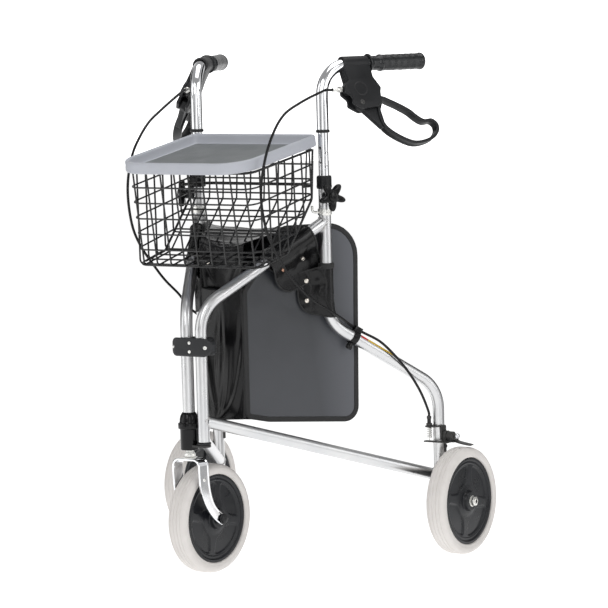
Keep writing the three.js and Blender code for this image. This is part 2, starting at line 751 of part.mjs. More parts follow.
// Clamp round the handle with two cheeks that hold the lever.
function brakeHousing(side) {
  const cheeks = brakeSlab(HOUSING_OUTLINE, -HOUSING_HALF, HOUSING_HALF);
  const sleeve = rod([0, HOUSING_FRONT, 0], [0, HOUSING_REAR, 0], HOUSING_SLEEVE_R, TUBE_SIDES);
  const bore = rod([0, 35, 0], [0, 110, 0], TUBE_R + GAP, TUBE_SIDES);
  const slot = box([-LEVER_SLOT_HALF, 44, -120], [LEVER_SLOT_HALF, 130, -44]);
  const barrelBore = rod([0, 20, -BARREL_DROP], [0, 40, -BARREL_DROP], 5 + GAP);
  const bend = tube([
    [0, 0, -90], [0, 0, 0], [0, 60, 0],
  ], TUBE_R + GAP, 0, HANDLE_BEND_R);
  const body = cut(join(cheeks, sleeve), bore, slot, barrelBore);
  const pin = rod(
    [-HOUSING_HALF + 1, LEVER_PIVOT[0], -LEVER_PIVOT[1]],
    [HOUSING_HALF - 1, LEVER_PIVOT[0], -LEVER_PIVOT[1]],
    LEVER_PIN_R,
  );
  const leaned = leanBrake(join(body, pin), side);
  return cut(leaned, bend.translate(0, 0, HANDLE_Z));
}

// Loop lever: a tongue in the housing and a broad band round the fingers.
function brakeLever(side) {
  const tongue = brakeSlab(LEVER_TONGUE, -LEVER_TONGUE_HALF, LEVER_TONGUE_HALF);
  const band = brakeSlab(LEVER_OUTER, -LEVER_BAND_HALF, LEVER_BAND_HALF);
  const gap = brakeSlab(LEVER_INNER, -LEVER_BAND_HALF - 1, LEVER_BAND_HALF + 1);
  const cheekRoom = 11;
  const rootOutline = [[90, 60], [117, 60], [117, 100], [101, 118], [90, 118]];
  const root = brakeSlab(rootOutline, -cheekRoom, -LEVER_TONGUE_HALF);
  const otherRoot = root.clone().translate(cheekRoom + LEVER_TONGUE_HALF, 0, 0);
  const pinBore = rod(
    [-20, LEVER_PIVOT[0], -LEVER_PIVOT[1]],
    [20, LEVER_PIVOT[0], -LEVER_PIVOT[1]],
    LEVER_PIN_R + RUN,
  );
  const loop = cut(band, gap, root, otherRoot);
  return leanBrake(cut(join(tongue, loop), pinBore), side);
}

function cableBarrel(side) {
  const barrel = turned([
    [0, -BARREL_REAR], [4, -BARREL_REAR], [4, -24], [5, -23.5], [5, -18], [3.6, -17],
    [3.6, -BARREL_FRONT], [0, -BARREL_FRONT],
  ], 8);
  barrel.rotateX(Math.PI / 2);
  barrel.translate(0, 0, -BARREL_DROP);
  return leanBrake(barrel, side);
}

for (const side of SIDES) {
  const frame = sideFrames.get(side);
  const clamp = groupAt(frame, 0, UPRIGHT, 0);
  addPiece(clamp, sideName(side, "clamp_collar"), clampCollar(side), BLACK_PLASTIC);
  const knob = groupAt(clamp, 0, 0, KNOB_Z);
  addPiece(knob, sideName(side, "clamp_knob"), clampKnob(side), BLACK_PLASTIC);
  const foot = onSideFrame(side, 0, UPRIGHT, 0);
  const handle = groupAt(model, foot.x, foot.y, 0, -side * HANDLE_SPLAY);
  addPiece(handle, sideName(side, "handle_tube"), handleTube(side), CHROME);
  const ring = groupAt(handle, 0, 0, STOP_RING_Z);
  addPiece(ring, sideName(side, "stop_ring"), stopRing(), BLACK_PLASTIC);
  const bar = groupAt(handle, 0, 0, HANDLE_Z);
  addPiece(bar, sideName(side, "grip"), grip(), GRIP_RUBBER);
  addPiece(handle, sideName(side, "brake_housing"), brakeHousing(side), BLACK_PLASTIC);
  addPiece(handle, sideName(side, "brake_lever"), brakeLever(side), BLACK_PLASTIC);
  addPiece(handle, sideName(side, "cable_barrel"), cableBarrel(side), ZINC);
}

// ---------------------------------------------------------------- rear brake

// Strap on the rear leg with a plate for the cable end and a pin for the brake arm.
function brakeBracket(side) {
  const ahead = [-ADJUSTER_AHEAD * Math.sin(SPLAY), -ADJUSTER_AHEAD * Math.cos(SPLAY)];
  const strap = turned([
    [TUBE_R + GAP, BRACKET_FOOT], [BRACKET_R, BRACKET_FOOT],
    [BRACKET_R, BRACKET_TOP + 6], [TUBE_R + GAP, BRACKET_TOP + 6],
  ], TUBE_SIDES);
  const plateOutline = roundedOutline([
    [ahead[0] - 8, ahead[1] - 7, 4], [ahead[0] + 8, ahead[1] - 7, 4], [13, 2, 2], [-13, 2, 2],
  ], 3);
  const plate = slab(plateOutline, BRACKET_PLATE_Z, BRACKET_PLATE_Z + BRACKET_PLATE_H);
  const legBore = rod([0, 0, 180], [0, 0, 260], TUBE_R + GAP, TUBE_SIDES);
  const ear = sideSlab(roundedOutline([
    [PIVOT_Y - 8, PIVOT_Z - 12, 4], [PIVOT_Y + 9, PIVOT_Z - 12, 4],
    [PIVOT_Y + 9, PIVOT_Z + 12, 4], [PIVOT_Y - 8, PIVOT_Z + 12, 4],
  ], 2), 12.5, 21.5);
  const pin = rod([18, PIVOT_Y, PIVOT_Z], [ARM_OUTER + 2, PIVOT_Y, PIVOT_Z], PIVOT_R);
  const head = rod([ARM_OUTER + 0.6, PIVOT_Y, PIVOT_Z], [ARM_OUTER + 6, PIVOT_Y, PIVOT_Z], 6);
  const bracket = join(cut(join(strap, plate, ear), legBore), pin, head);
  return side === LEFT ? bracket : mirrored(bracket);
}

// The same shape for the other side of the walker.
function mirrored(geometry) {
  const copy = geometry.clone();
  copy.scale(-1, 1, 1);
  const index = copy.index.array;
  for (let k = 0; k < index.length; k += 3) {
    const second = index[k + 1];
    index[k + 1] = index[k + 2];
    index[k + 2] = second;
  }
  return copy;
}

// Rocking arm: the cable lifts its front plate and the shoe goes down on the tyre.
function brakeArm(side) {
  const boss = rod([ARM_INNER, PIVOT_Y, PIVOT_Z], [ARM_OUTER, PIVOT_Y, PIVOT_Z], 8.5, 16);
  const front = sideSlab([
    [PIVOT_Y - 22, 209.5], [PIVOT_Y + 4, 209.5], [PIVOT_Y + 4, 218], [PIVOT_Y - 8, 213], [PIVOT_Y - 22, 213],
  ], ARM_INNER, ARM_OUTER);
  const plate = box([-18, -26, 209.5], [ARM_INNER + 2, -15.8, 213]);
  const rear = sideSlab([
    [PIVOT_Y, 210], [4, 203.6], [22, 203.6], [22, 207.5], [8, 211], [PIVOT_Y + 6, 222],
  ], ARM_INNER, ARM_OUTER);
  const shoe = box([ARM_OUTER - 4, 3, 203.6], [REAR_WHEEL_OUT + 19, 22, 207.6]);
  const bore = rod([ARM_INNER - 5, PIVOT_Y, PIVOT_Z], [ARM_OUTER + 5, PIVOT_Y, PIVOT_Z], PIVOT_R + RUN);
  const arm = cut(join(boss, front, plate, rear, shoe), bore);
  return side === LEFT ? arm : mirrored(arm);
}

function brakeSpring() {
  const foot = 217.2;
  const top = BRACKET_PLATE_Z - GAP;
  return turned([[3.4, foot], [5, foot], [5, top], [3.4, top]], 8);
}

function brakeAdjuster() {
  const foot = BRACKET_PLATE_Z + BRACKET_PLATE_H + GAP;
  return turned([
    [0, foot], [5.5, foot], [5.5, foot + 4], [3.6, foot + 5], [3.6, foot + 12],
    [4.4, foot + 12.5], [4.4, 258], [0, 258],
  ], 8);
}

for (const side of SIDES) {
  const leg = onSideFrame(side, 0, REAR_LEG, 0);
  const brake = groupAt(model, leg.x, leg.y, 0);
  addPiece(brake, sideName(side, "brake_bracket"), brakeBracket(side), BLACK_STEEL);
  addPiece(brake, sideName(side, "brake_arm"), brakeArm(side), BLACK_STEEL);
  const pull = groupAt(sideFrames.get(side), 0, REAR_LEG - ADJUSTER_AHEAD, 0);
  addPiece(pull, sideName(side, "brake_spring"), brakeSpring(), ZINC);
  addPiece(pull, sideName(side, "brake_adjuster"), brakeAdjuster(), BLACK_STEEL);
}

// ---------------------------------------------------------------- brake cables

// Clip round the sloping tube with a bored block on top for the cable.
function cableClip() {
  const band = rod([0, -CLIP_HALF, 0], [0, CLIP_HALF, 0], 13.6, TUBE_SIDES);
  const block = box([-5.5, -CLIP_HALF - 2, 8], [5.5, CLIP_HALF + 2, CLIP_LIFT + 4.5]);
  const tubeBore = rod([0, -20, 0], [0, 20, 0], TUBE_R + GAP, TUBE_SIDES);
  const cableBore = rod([0, -20, CLIP_LIFT], [0, 20, CLIP_LIFT], CABLE_R + CLIP_ROOM);
  return cut(join(band, block), tubeBore, cableBore);
}

const SLOPE_ANGLE = Math.atan2(SLOPE_FRONT_Z - SLOPE_REAR_Z, REAR_LEG - UPRIGHT);

// Where the cable runs over the clip, as [outwards, along, up] on the side frame.
function clipPass(run) {
  const along = CLIP_ALONG + CLIP_LIFT * Math.sin(SLOPE_ANGLE) + run * Math.cos(SLOPE_ANGLE);
  const up = slopeZ(CLIP_ALONG) + CLIP_LIFT * Math.cos(SLOPE_ANGLE) - run * Math.sin(SLOPE_ANGLE);
  return [0, along, up];
}

function cableRoute(side) {
  const start = new THREE.Vector3(0, BARREL_FRONT - GAP, -BARREL_DROP);
  const ahead = new THREE.Vector3(0, BARREL_FRONT - 14, -BARREL_DROP);
  const foot = onSideFrame(side, 0, UPRIGHT, HANDLE_Z);
  const placed = [start, ahead].map((point) => point
    .applyAxisAngle(new THREE.Vector3(0, 1, 0), -side * BRAKE_LEAN)
    .applyAxisAngle(new THREE.Vector3(0, 0, 1), -side * HANDLE_SPLAY)
    .add(foot));
  const loop = (side === LEFT ? LEFT_LOOP : RIGHT_LOOP)
    .map(([out, back, up]) => new THREE.Vector3(side * out, back, up));
  const low = [
    clipPass(-12), clipPass(0), clipPass(12),
    [7, 362, 406], [14.5, 390, 377], [16.5, 416, 345], [13, 441, 308], [5, 459, 276],
    [0.4, REAR_LEG - ADJUSTER_AHEAD, 262], [0, REAR_LEG - ADJUSTER_AHEAD, 258 + GAP],
  ].map(([out, along, up]) => onSideFrame(side, out, along, up));
  return new THREE.CatmullRomCurve3([...placed, ...loop, ...low], false, "centripetal");
}

function brakeCable(side) {
  return new THREE.ExtrudeGeometry(roundSection(CABLE_R, 0, CABLE_SIDES), {
    extrudePath: cableRoute(side),
    steps: CABLE_STEPS,
    bevelEnabled: false,
  });
}

for (const side of SIDES) {
  const clip = groupAt(sideFrames.get(side), 0, CLIP_ALONG, slopeZ(CLIP_ALONG));
  clip.rotation.x = -SLOPE_ANGLE;
  addPiece(clip, sideName(side, "cable_clip"), cableClip(), BLACK_PLASTIC);
  addPiece(model, sideName(side, "brake_cable"), brakeCable(side), BLACK_PLASTIC);
}

// ---------------------------------------------------------------- basket and tray

// Short rod hook on each upright that the basket's sloping back rests against.
function basketHook() {
  const ring = turned([
    [TUBE_R + GAP, 646], [13.2, 646], [13.2, 658], [TUBE_R + GAP, 658],
  ], TUBE_SIDES);
  const hook = tube([[0, -12.2, 652], [0, -26, 652], [0, -26, 664]], 2.4, 0, 6, 6);
  return join(ring, hook);
}

// Basket shell: outer shape of the wire basket, open at the top, with its rear hanging rail.
function basket() {
  const shell = sideSlab(BASKET_PROFILE, -BASKET_HALF, BASKET_HALF);
  const hollow = sideSlab([
    [-4, 760], [-4.6, 736.5], [24.6, 571.2], [106.5, 589], [189.2, 677.4], [196, 769], [196, 790],
  ], -BASKET_HALF + BASKET_WALL, BASKET_HALF - BASKET_WALL);
  const rail = tube([
    [RAIL_HALF, 165, RAIL_Z], [RAIL_HALF, RAIL_Y, RAIL_Z],
    [-RAIL_HALF, RAIL_Y, RAIL_Z], [-RAIL_HALF, 165, RAIL_Z],
  ], RAIL_R, 0, RAIL_BEND_R, 6);
  return join(cut(shell, hollow), rail);
}

// Tray with a raised rim, sloping down towards the front.
function tray() {
  const outline = (inset) => roundedOutline([
    [-TRAY_HALF + inset, -TRAY_DEEP + inset, 60 - inset],
    [TRAY_HALF - inset, -TRAY_DEEP + inset, 60 - inset],
    [TRAY_HALF - inset, -inset, 18 - inset],
    [-TRAY_HALF + inset, -inset, 18 - inset],
  ], 6);
  return cut(slab(outline(0), -TRAY_H, 0), slab(outline(TRAY_RIM), -TRAY_POCKET, 5));
}

addPiece(model, "basket", basket(), WIRE_BLACK);
const trayGroup = groupAt(model, 0, TRAY_REAR_Y, TRAY_REAR_Z);
trayGroup.rotation.x = TRAY_TILT;
addPiece(trayGroup, "tray", tray(), TRAY_PLASTIC);

// ---------------------------------------------------------------- bag

const PANEL_OUTLINE = roundedOutline([
  [93, 282, 12], [140, 272, 30], [325, 258, 24], [332, 590, 20], [300, 629, 20], [178, 629, 12], [93, 515, 12],
], 3);

// Side panel inside the side frame, with a tab over the diagonal and one round the upright.
function bagPanel(side) {
  const panel = sideSlab(PANEL_OUTLINE, -PANEL_FAR, -PANEL_NEAR);
  const outer = TUBE_R + 3;
  const inner = TUBE_R + 0.8;
  const overTube = slab([
    [-PANEL_FAR, -10], [-PANEL_FAR, outer], [outer, outer], [outer, -52],
    [inner, -52], [inner, inner], [-PANEL_NEAR, inner], [-PANEL_NEAR, -10],
  ], -34, 34);
  overTube.rotateX(Math.PI / 2);
  const climb = Math.atan2(DIAGONAL_REAR_Z - DIAGONAL_FRONT_Z, UPRIGHT);
  overTube.rotateX(climb);
  overTube.translate(0, 188, diagonalZ(188));
  const roundUpright = slab([
    [-PANEL_FAR, 14], [-PANEL_FAR, -outer], [outer, -outer], [outer, 12],
    [inner, 12], [inner, -inner], [-PANEL_NEAR, -inner], [-PANEL_NEAR, 14],
  ], 474, 552);
  roundUpright.translate(0, UPRIGHT, 0);
  const whole = join(panel, overTube, roundUpright);
  return side === LEFT ? whole : mirrored(whole);
}

for (const side of SIDES) {
  const frame = sideFrames.get(side);
  addPiece(frame, sideName(side, "bag_panel"), bagPanel(side), VINYL_GREY);
  const hook = groupAt(frame, 0, UPRIGHT, 0);
  addPiece(hook, sideName(side, "basket_hook"), basketHook(), ZINC);
}
addPiece(model, "bag_front_gusset", box(
  [-38, FRONT_GUSSET_Y, 285],
  [38, FRONT_GUSSET_Y + SOFT_THICK, 508],
), VINYL_BLACK);
addPiece(model, "bag_rear_panel", box(
  [-148, REAR_PANEL_Y, 268],
  [148, REAR_PANEL_Y + SOFT_THICK, 598],
), VINYL_BLACK);
addPiece(model, "bag_bottom", slab([[-30, 94], [30, 94], [142, 284], [-142, 284]], 274, 278), VINYL_BLACK);

export default walker;
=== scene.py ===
import json
import math

import bmesh
import bpy
import numpy as np
from mathutils import Matrix, Vector, noise

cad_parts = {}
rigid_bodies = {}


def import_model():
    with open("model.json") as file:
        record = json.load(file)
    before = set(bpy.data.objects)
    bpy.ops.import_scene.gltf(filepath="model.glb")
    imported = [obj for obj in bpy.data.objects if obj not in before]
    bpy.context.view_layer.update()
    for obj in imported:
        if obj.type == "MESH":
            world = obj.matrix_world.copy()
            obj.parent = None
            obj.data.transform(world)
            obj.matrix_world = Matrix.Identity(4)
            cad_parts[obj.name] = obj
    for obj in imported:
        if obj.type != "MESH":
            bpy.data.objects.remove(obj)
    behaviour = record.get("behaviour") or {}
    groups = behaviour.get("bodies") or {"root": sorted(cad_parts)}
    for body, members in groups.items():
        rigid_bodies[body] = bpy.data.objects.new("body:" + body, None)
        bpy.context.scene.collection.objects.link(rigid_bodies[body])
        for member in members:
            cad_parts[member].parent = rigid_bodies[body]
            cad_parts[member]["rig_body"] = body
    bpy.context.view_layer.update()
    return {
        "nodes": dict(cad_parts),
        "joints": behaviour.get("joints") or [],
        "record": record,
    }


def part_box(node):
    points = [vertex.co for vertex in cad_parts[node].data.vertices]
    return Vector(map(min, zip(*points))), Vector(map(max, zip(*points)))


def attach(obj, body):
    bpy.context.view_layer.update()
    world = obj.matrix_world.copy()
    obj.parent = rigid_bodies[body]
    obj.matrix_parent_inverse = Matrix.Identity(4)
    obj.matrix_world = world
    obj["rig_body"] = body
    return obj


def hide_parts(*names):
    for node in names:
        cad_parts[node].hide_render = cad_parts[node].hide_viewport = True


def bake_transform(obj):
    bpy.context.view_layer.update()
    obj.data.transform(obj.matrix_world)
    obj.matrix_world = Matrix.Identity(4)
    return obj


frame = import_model()

MM = 0.001
LEFT, RIGHT = 1, -1
SIDES = (LEFT, RIGHT)
JOINTS = {joint["name"]: joint for joint in frame["joints"]}
MOUNTS = {mount["name"]: mount for mount in frame["record"]["mounts"]}


def word(side):
    return "left" if side == LEFT else "right"


def joint_at(name):
    return Vector(JOINTS[name]["pos_m"])


def joint_axis(name):
    return Vector(JOINTS[name]["axis"]).normalized()


# ---------------------------------------------------------------- driving dimensions, in mm

TUBE_R = 11.1
TUBE_BORE_R = 9.9
BEND_R = 70
UPRIGHT_TOP = 715.6
SLOPE_FRONT_Z = 448.7
SLOPE_REAR_Z = 310.3
REAR_LEG_FOOT = 84
DIAGONAL_FRONT_Z = 488.5
DIAGONAL_REAR_Z = 635
LEFT_LEG_FOOT = 247.5
RIGHT_LEG_FOOT = 262
LOWER_FRONT_Z = 286
LOWER_REAR_Z = 143.8
INNER_R = 9.5
INNER_BORE_R = 8.3
INNER_FOOT = 572
STOP_RING_Z = 797
STOP_RING_H = 5.4
HANDLE_Z = 920
HANDLE_BEND_R = 55
HANDLE_END = 218
GRIP_START = 100.5
HOLE_FOOT = 634
HOLE_PITCH = 25
KNOB_Z = 681
WHEEL_R = 100
HUB_R = 81
ROUND = 40  # sides of a frame tube
HINGE_HALF = 16  # from the middle of the hinge to the axis of each front leg
BRAKE_PULL = 465.7  # how far back the brake cable comes down, ahead of the rear leg
TUBE_SETTLE = 6  # how far short of the next tube's axis a welded tube ends
CAMERA_TURN = 34.033  # degrees from straight ahead of the walker
ONTO_X = Matrix.Rotation(math.radians(90), 4, "Y")  # lays what is made about Z along X


# ---------------------------------------------------------------- places taken from the frame

def ground(point):
    return Vector((point.x, point.y, 0))


LEG = {LEFT: ground(joint_at("fold")), RIGHT: ground(joint_at("caster_swivel"))}
UPRIGHT_AT = {side: ground(joint_at(f"{word(side)}_clamp_knob_turn")) for side in SIDES}
WHEEL_AT = {side: joint_at(f"{word(side)}_rear_wheel_spin") for side in SIDES}
UPRIGHT = (UPRIGHT_AT[LEFT] - LEG[LEFT]).length / MM
REAR_LEG = 486


def axes_matrix(x, y, z, origin):
    matrix = Matrix((x, y, z)).transposed().to_4x4()
    matrix.translation = origin
    return matrix @ Matrix.Scale(MM, 4)


def side_matrix(side):
    """Millimetres as (outwards, along, up) on a side frame, to the row frame."""
    along = (UPRIGHT_AT[side] - LEG[side]).normalized()
    outwards = Vector((along.y, -along.x, 0)) * side
    return axes_matrix(outwards, along, Vector((0, 0, 1)), LEG[side])


def handle_matrix(side):
    """Millimetres as (outwards, along the grip, up) from the foot of the handle."""
    along = Vector(MOUNTS[f"{word(side)}_hand_grip"]["axis"]).normalized()
    outwards = Vector((along.y, -along.x, 0)) * side
    return axes_matrix(outwards, along, Vector((0, 0, 1)), UPRIGHT_AT[side])


def brake_matrix(side):
    """The handle's axes, leaned outwards with the brake unit, from the grip's axis."""
    along = Vector(MOUNTS[f"{word(side)}_hand_grip"]["axis"]).normalized()
    outwards = joint_axis(f"{word(side)}_brake_lever_squeeze") * side
    up = outwards.cross(along).normalized() * side
    return axes_matrix(outwards, along, up, UPRIGHT_AT[side] + Vector((0, 0, HANDLE_Z * MM)))


def wheel_matrix(centre, axis):
    """Millimetres as (back, up, along the axle) from the wheel's centre."""
    up = Vector((0, 0, 1))
    return axes_matrix(up.cross(axis).normalized(), up, axis, centre)


def leg_matrix(side):
    """Millimetres from the rear leg's axis on the floor, X outwards and Y back."""
    foot = side_matrix(side) @ Vector((0, REAR_LEG, 0))
    return axes_matrix(Vector((side, 0, 0)), Vector((0, 1, 0)), Vector((0, 0, 1)), foot)


MODEL = axes_matrix(
    Vector((1, 0, 0)), Vector((0, 1, 0)), Vector((0, 0, 1)), Vector((0, LEG[LEFT].y, 0)),
)


# ---------------------------------------------------------------- shapes

class Shape:
    """Vertices and faces that are moved, joined and then made into a piece."""

    def __init__(self, verts=(), faces=()):
        self.verts = [Vector(v) for v in verts]
        self.faces = [tuple(f) for f in faces]

    def add(self, *others):
        for other in others:
            base = len(self.verts)
            self.verts += [v.copy() for v in other.verts]
            self.faces += [tuple(i + base for i in face) for face in other.faces]
        return self

    def moved(self, matrix):
        return Shape([matrix @ v for v in self.verts], self.faces)


def loft(rings, loop=False, caps=True):
    """Quads between rings of equal length; loop joins the last ring to the first."""
    count = len(rings[0])
    verts = [v for ring in rings for v in ring]
    faces = []
    spans = len(rings) if loop else len(rings) - 1
    for i in range(spans):
        a, b = i * count, ((i + 1) % len(rings)) * count
        for k in range(count):
            n = (k + 1) % count
            faces.append((a + k, a + n, b + n, b + k))
    if caps and not loop:
        faces.append(tuple(reversed(range(count))))
        faces.append(tuple(range((len(rings) - 1) * count, len(rings) * count)))
    return Shape(verts, faces)


def circle(radius, sides):
    turns = [2 * math.pi * k / sides for k in range(sides)]
    return [(radius * math.cos(t), radius * math.sin(t)) for t in turns]


def lathe(profile, steps=48, loop=False):
    """[radius, height] pairs turned about Z; loop where the profile closes on itself."""
    rings = [[Vector((x, y, height)) for x, y in circle(max(radius, 1e-3), steps)]
             for radius, height in profile]
    return loft(rings, loop=loop)


def bent(corners, radius, steps=12):
    """A path of straight runs joined by round bends."""
    points = [Vector(c) for c in corners]
    path = [points[0]]
    for before, corner, after in zip(points, points[1:], points[2:]):
        inward, onward = (corner - before).normalized(), (after - corner).normalized()
        angle = inward.angle(onward)
        if angle < 1e-4:
            continue
        start = corner - inward * radius * math.tan(angle / 2)
        across = (onward - inward * onward.dot(inward)).normalized()
        for k in range(steps + 1):
            turn = angle * k / steps
            path.append(start + inward * radius * math.sin(turn)
                        + across * radius * (1 - math.cos(turn)))
    return path + [points[-1]]


def spline(points, per_span=8, loop=False):
    """A centripetal Catmull-Rom curve through the points."""
    points = [Vector(p) for p in points]
    if loop:
        ring = [points[-1], *points, points[0], points[1]]
    else:
        ring = [points[0] * 2 - points[1], *points, points[-1] * 2 - points[-2]]
    path = []
    for p0, p1, p2, p3 in zip(ring, ring[1:], ring[2:], ring[3:]):
        t1 = max((p1 - p0).length, 1e-6) ** 0.5
        t2 = t1 + max((p2 - p1).length, 1e-6) ** 0.5
        t3 = t2 + max((p3 - p2).length, 1e-6) ** 0.5
        for k in range(per_span):
            t = t1 + (t2 - t1) * k / per_span
            a1 = p0 * ((t1 - t) / t1) + p1 * (t / t1)
            a2 = p1 * ((t2 - t) / (t2 - t1)) + p2 * ((t - t1) / (t2 - t1))
            a3 = p2 * ((t3 - t) / (t3 - t2)) + p3 * ((t - t2) / (t3 - t2))
            b1 = a1 * ((t2 - t) / t2) + a2 * (t / t2)
            b2 = a2 * ((t3 - t) / (t3 - t1)) + a3 * ((t - t1) / (t3 - t1))
            path.append(b1 * ((t2 - t) / (t2 - t1)) + b2 * ((t - t1) / (t2 - t1)))
    return path if loop else path + [points[-1]]


def path_frames(path, loop=False, first=None):
    """A pair of directions across the path at each point, turned as little as possible."""
    count = len(path)
    tangents = []
    for k in range(count):
        before = path[k - 1] if k or loop else path[0]
        after = path[(k + 1) % count] if k < count - 1 or loop else path[-1]
        tangents.append((after - before).normalized())
    across = Vector(first) if first else tangents[0].orthogonal()
    frames = []
    for tangent in tangents:
        across = (across - tangent * across.dot(tangent)).normalized()
        frames.append((across, tangent.cross(across)))
    return frames


def sweep(path, section, loop=False, first=None):
    """A section of (a, b) points, or a function of the point's number, along a path."""
    rings = []
    for k, (point, (across, over)) in enumerate(zip(path, path_frames(path, loop, first))):
        shape = section(k) if callable(section) else section
        rings.append([point + across * a + over * b for a, b in shape])
    return loft(rings, loop=loop)


def tube(corners, radius, bore, bend=BEND_R):
    """A hollow bent tube with its ends open and its rims slightly rounded."""
    path = bent(corners, bend)
    frames = path_frames(path)
    last = len(path) - 1
    rim_in, rim_deep = 0.35, 0.4

    def ring(k, r, shift=Vector()):
        across, over = frames[k]
        return [path[k] + shift + across * a + over * b for a, b in circle(r, ROUND)]

    rings = [ring(0, radius - rim_in)]
    rings.append(ring(0, radius, (path[1] - path[0]).normalized() * rim_deep))
    rings += [ring(k, radius) for k in range(1, last)]
    rings.append(ring(last, radius, (path[-2] - path[-1]).normalized() * rim_deep))
    rings.append(ring(last, radius - rim_in))
    rings += [ring(k, bore) for k in reversed(range(len(path)))]
    return loft(rings, loop=True)


def rod(path, radius, sides=12, loop=False):
    return sweep(path, circle(radius, sides), loop=loop)


def straight(start, end, radius, sides=24):
    return rod([Vector(start), Vector(end)], radius, sides)


def rounded(corners, steps=6):
    """An outline with its corners cut round; each corner is (x, y, radius)."""
    points = []
    count = len(corners)
    for i, (x, y, radius) in enumerate(corners):
        corner = Vector((x, y))
        before = (Vector(corners[i - 1][:2]) - corner).normalized()
        after = (Vector(corners[(i + 1) % count][:2]) - corner).normalized()
        if not radius:
            points.append((x, y))
            continue
        half = before.angle(after) / 2
        centre = corner + (before + after).normalized() * (radius / math.sin(half))
        start = corner + before * (radius / math.tan(half)) - centre
        end = corner + after * (radius / math.tan(half)) - centre
        whole = math.atan2(start.x * end.y - start.y * end.x, start.dot(end))
        for k in range(steps + 1):
            c, s = math.cos(whole * k / steps), math.sin(whole * k / steps)
            points.append((centre.x + start.x * c - start.y * s,
                           centre.y + start.x * s + start.y * c))
    return points


def prism(outline, low, high, axis="Z"):
    """An outline raised from low to high along an axis; (a, b) are the other two in turn."""
    def place(a, b, c):
        return {"Z": (a, b, c), "X": (c, a, b), "Y": (a, c, b)}[axis]

    rings = [[Vector(place(a, b, level)) for a, b in outline] for level in (low, high)]
    return loft(rings)


def block(low, high):
    return prism([(low[0], low[1]), (high[0], low[1]), (high[0], high[1]), (low[0], high[1])],
                 low[2], high[2])


def shape_of(bm):
    """The Shape that a bmesh holds; the bmesh is freed."""
    bm.verts.index_update()
    made = Shape([v.co for v in bm.verts], [[v.index for v in f.verts] for f in bm.faces])
    bm.free()
    return made


def softened(shape, width, segments=2, angle=25):
    """The shape with its edges rounded off."""
    mesh = bpy.data.meshes.new("work")
    mesh.from_pydata([tuple(v) for v in shape.verts], [], shape.faces)
    bm = bmesh.new()
    bm.from_mesh(mesh)
    bpy.data.meshes.remove(mesh)
    bmesh.ops.remove_doubles(bm, verts=bm.verts, dist=1e-4)
    bmesh.ops.recalc_face_normals(bm, faces=bm.faces)
    limit = math.radians(angle)
    edges = [e for e in bm.edges if len(e.link_faces) == 2 and e.calc_face_angle(0) > limit]
    bmesh.ops.bevel(bm, geom=edges, offset=width, offset_type="OFFSET", segments=segments,
                    profile=0.5, affect="EDGES", clamp_overlap=True)
    return shape_of(bm)


def hexagon(radius, low, high):
    """A hex nut or bolt head with chamfered corners."""
    return softened(prism(circle(radius, 6), low, high), radius * 0.12)


def spring(foot, top, radius, wire, turns):
    """A coil with flat end turns."""
    steps = int(turns * 20)
    path = []
    for k in range(steps + 1):
        share = k / steps
        rise = min(max((share - 0.08) / 0.84, 0), 1)
        angle = 2 * math.pi * turns * share
        path.append(Vector((radius * math.cos(angle), radius * math.sin(angle),
                            foot + wire + (top - foot - 2 * wire) * rise)))
    return rod(path, wire, 8)


def facing(direction):
    """Turns what is made about Z to point along a direction."""
    return Vector(direction).to_track_quat("Z", "Y").to_matrix().to_4x4()


def smooth_step(value):
    value = min(max(value, 0), 1)
    return value * value * (3 - 2 * value)


def set_back(radius, over):
    """How far a round corner has drawn in at a distance over past where it starts."""
    return radius - math.sqrt(max(radius ** 2 - max(over, 0) ** 2, 0))


def run_lengths(path):
    """How far along the path each of its points lies."""
    lengths = [0.0]
    for a, b in zip(path, path[1:]):
        lengths.append(lengths[-1] + (b - a).length)
    return lengths


def inset_outline(points, inset):
    """A closed outline moved inwards."""
    count = len(points)
    area = sum(points[k - 1].x * points[k].y - points[k].x * points[k - 1].y for k in range(count))
    turn = 1 if area > 0 else -1
    made = []
    for k in range(count):
        run = (points[(k + 1) % count] - points[k - 1]).normalized()
        made.append(points[k] + Vector((-run.y, run.x)) * inset * turn)
    return made


# ---------------------------------------------------------------- materials

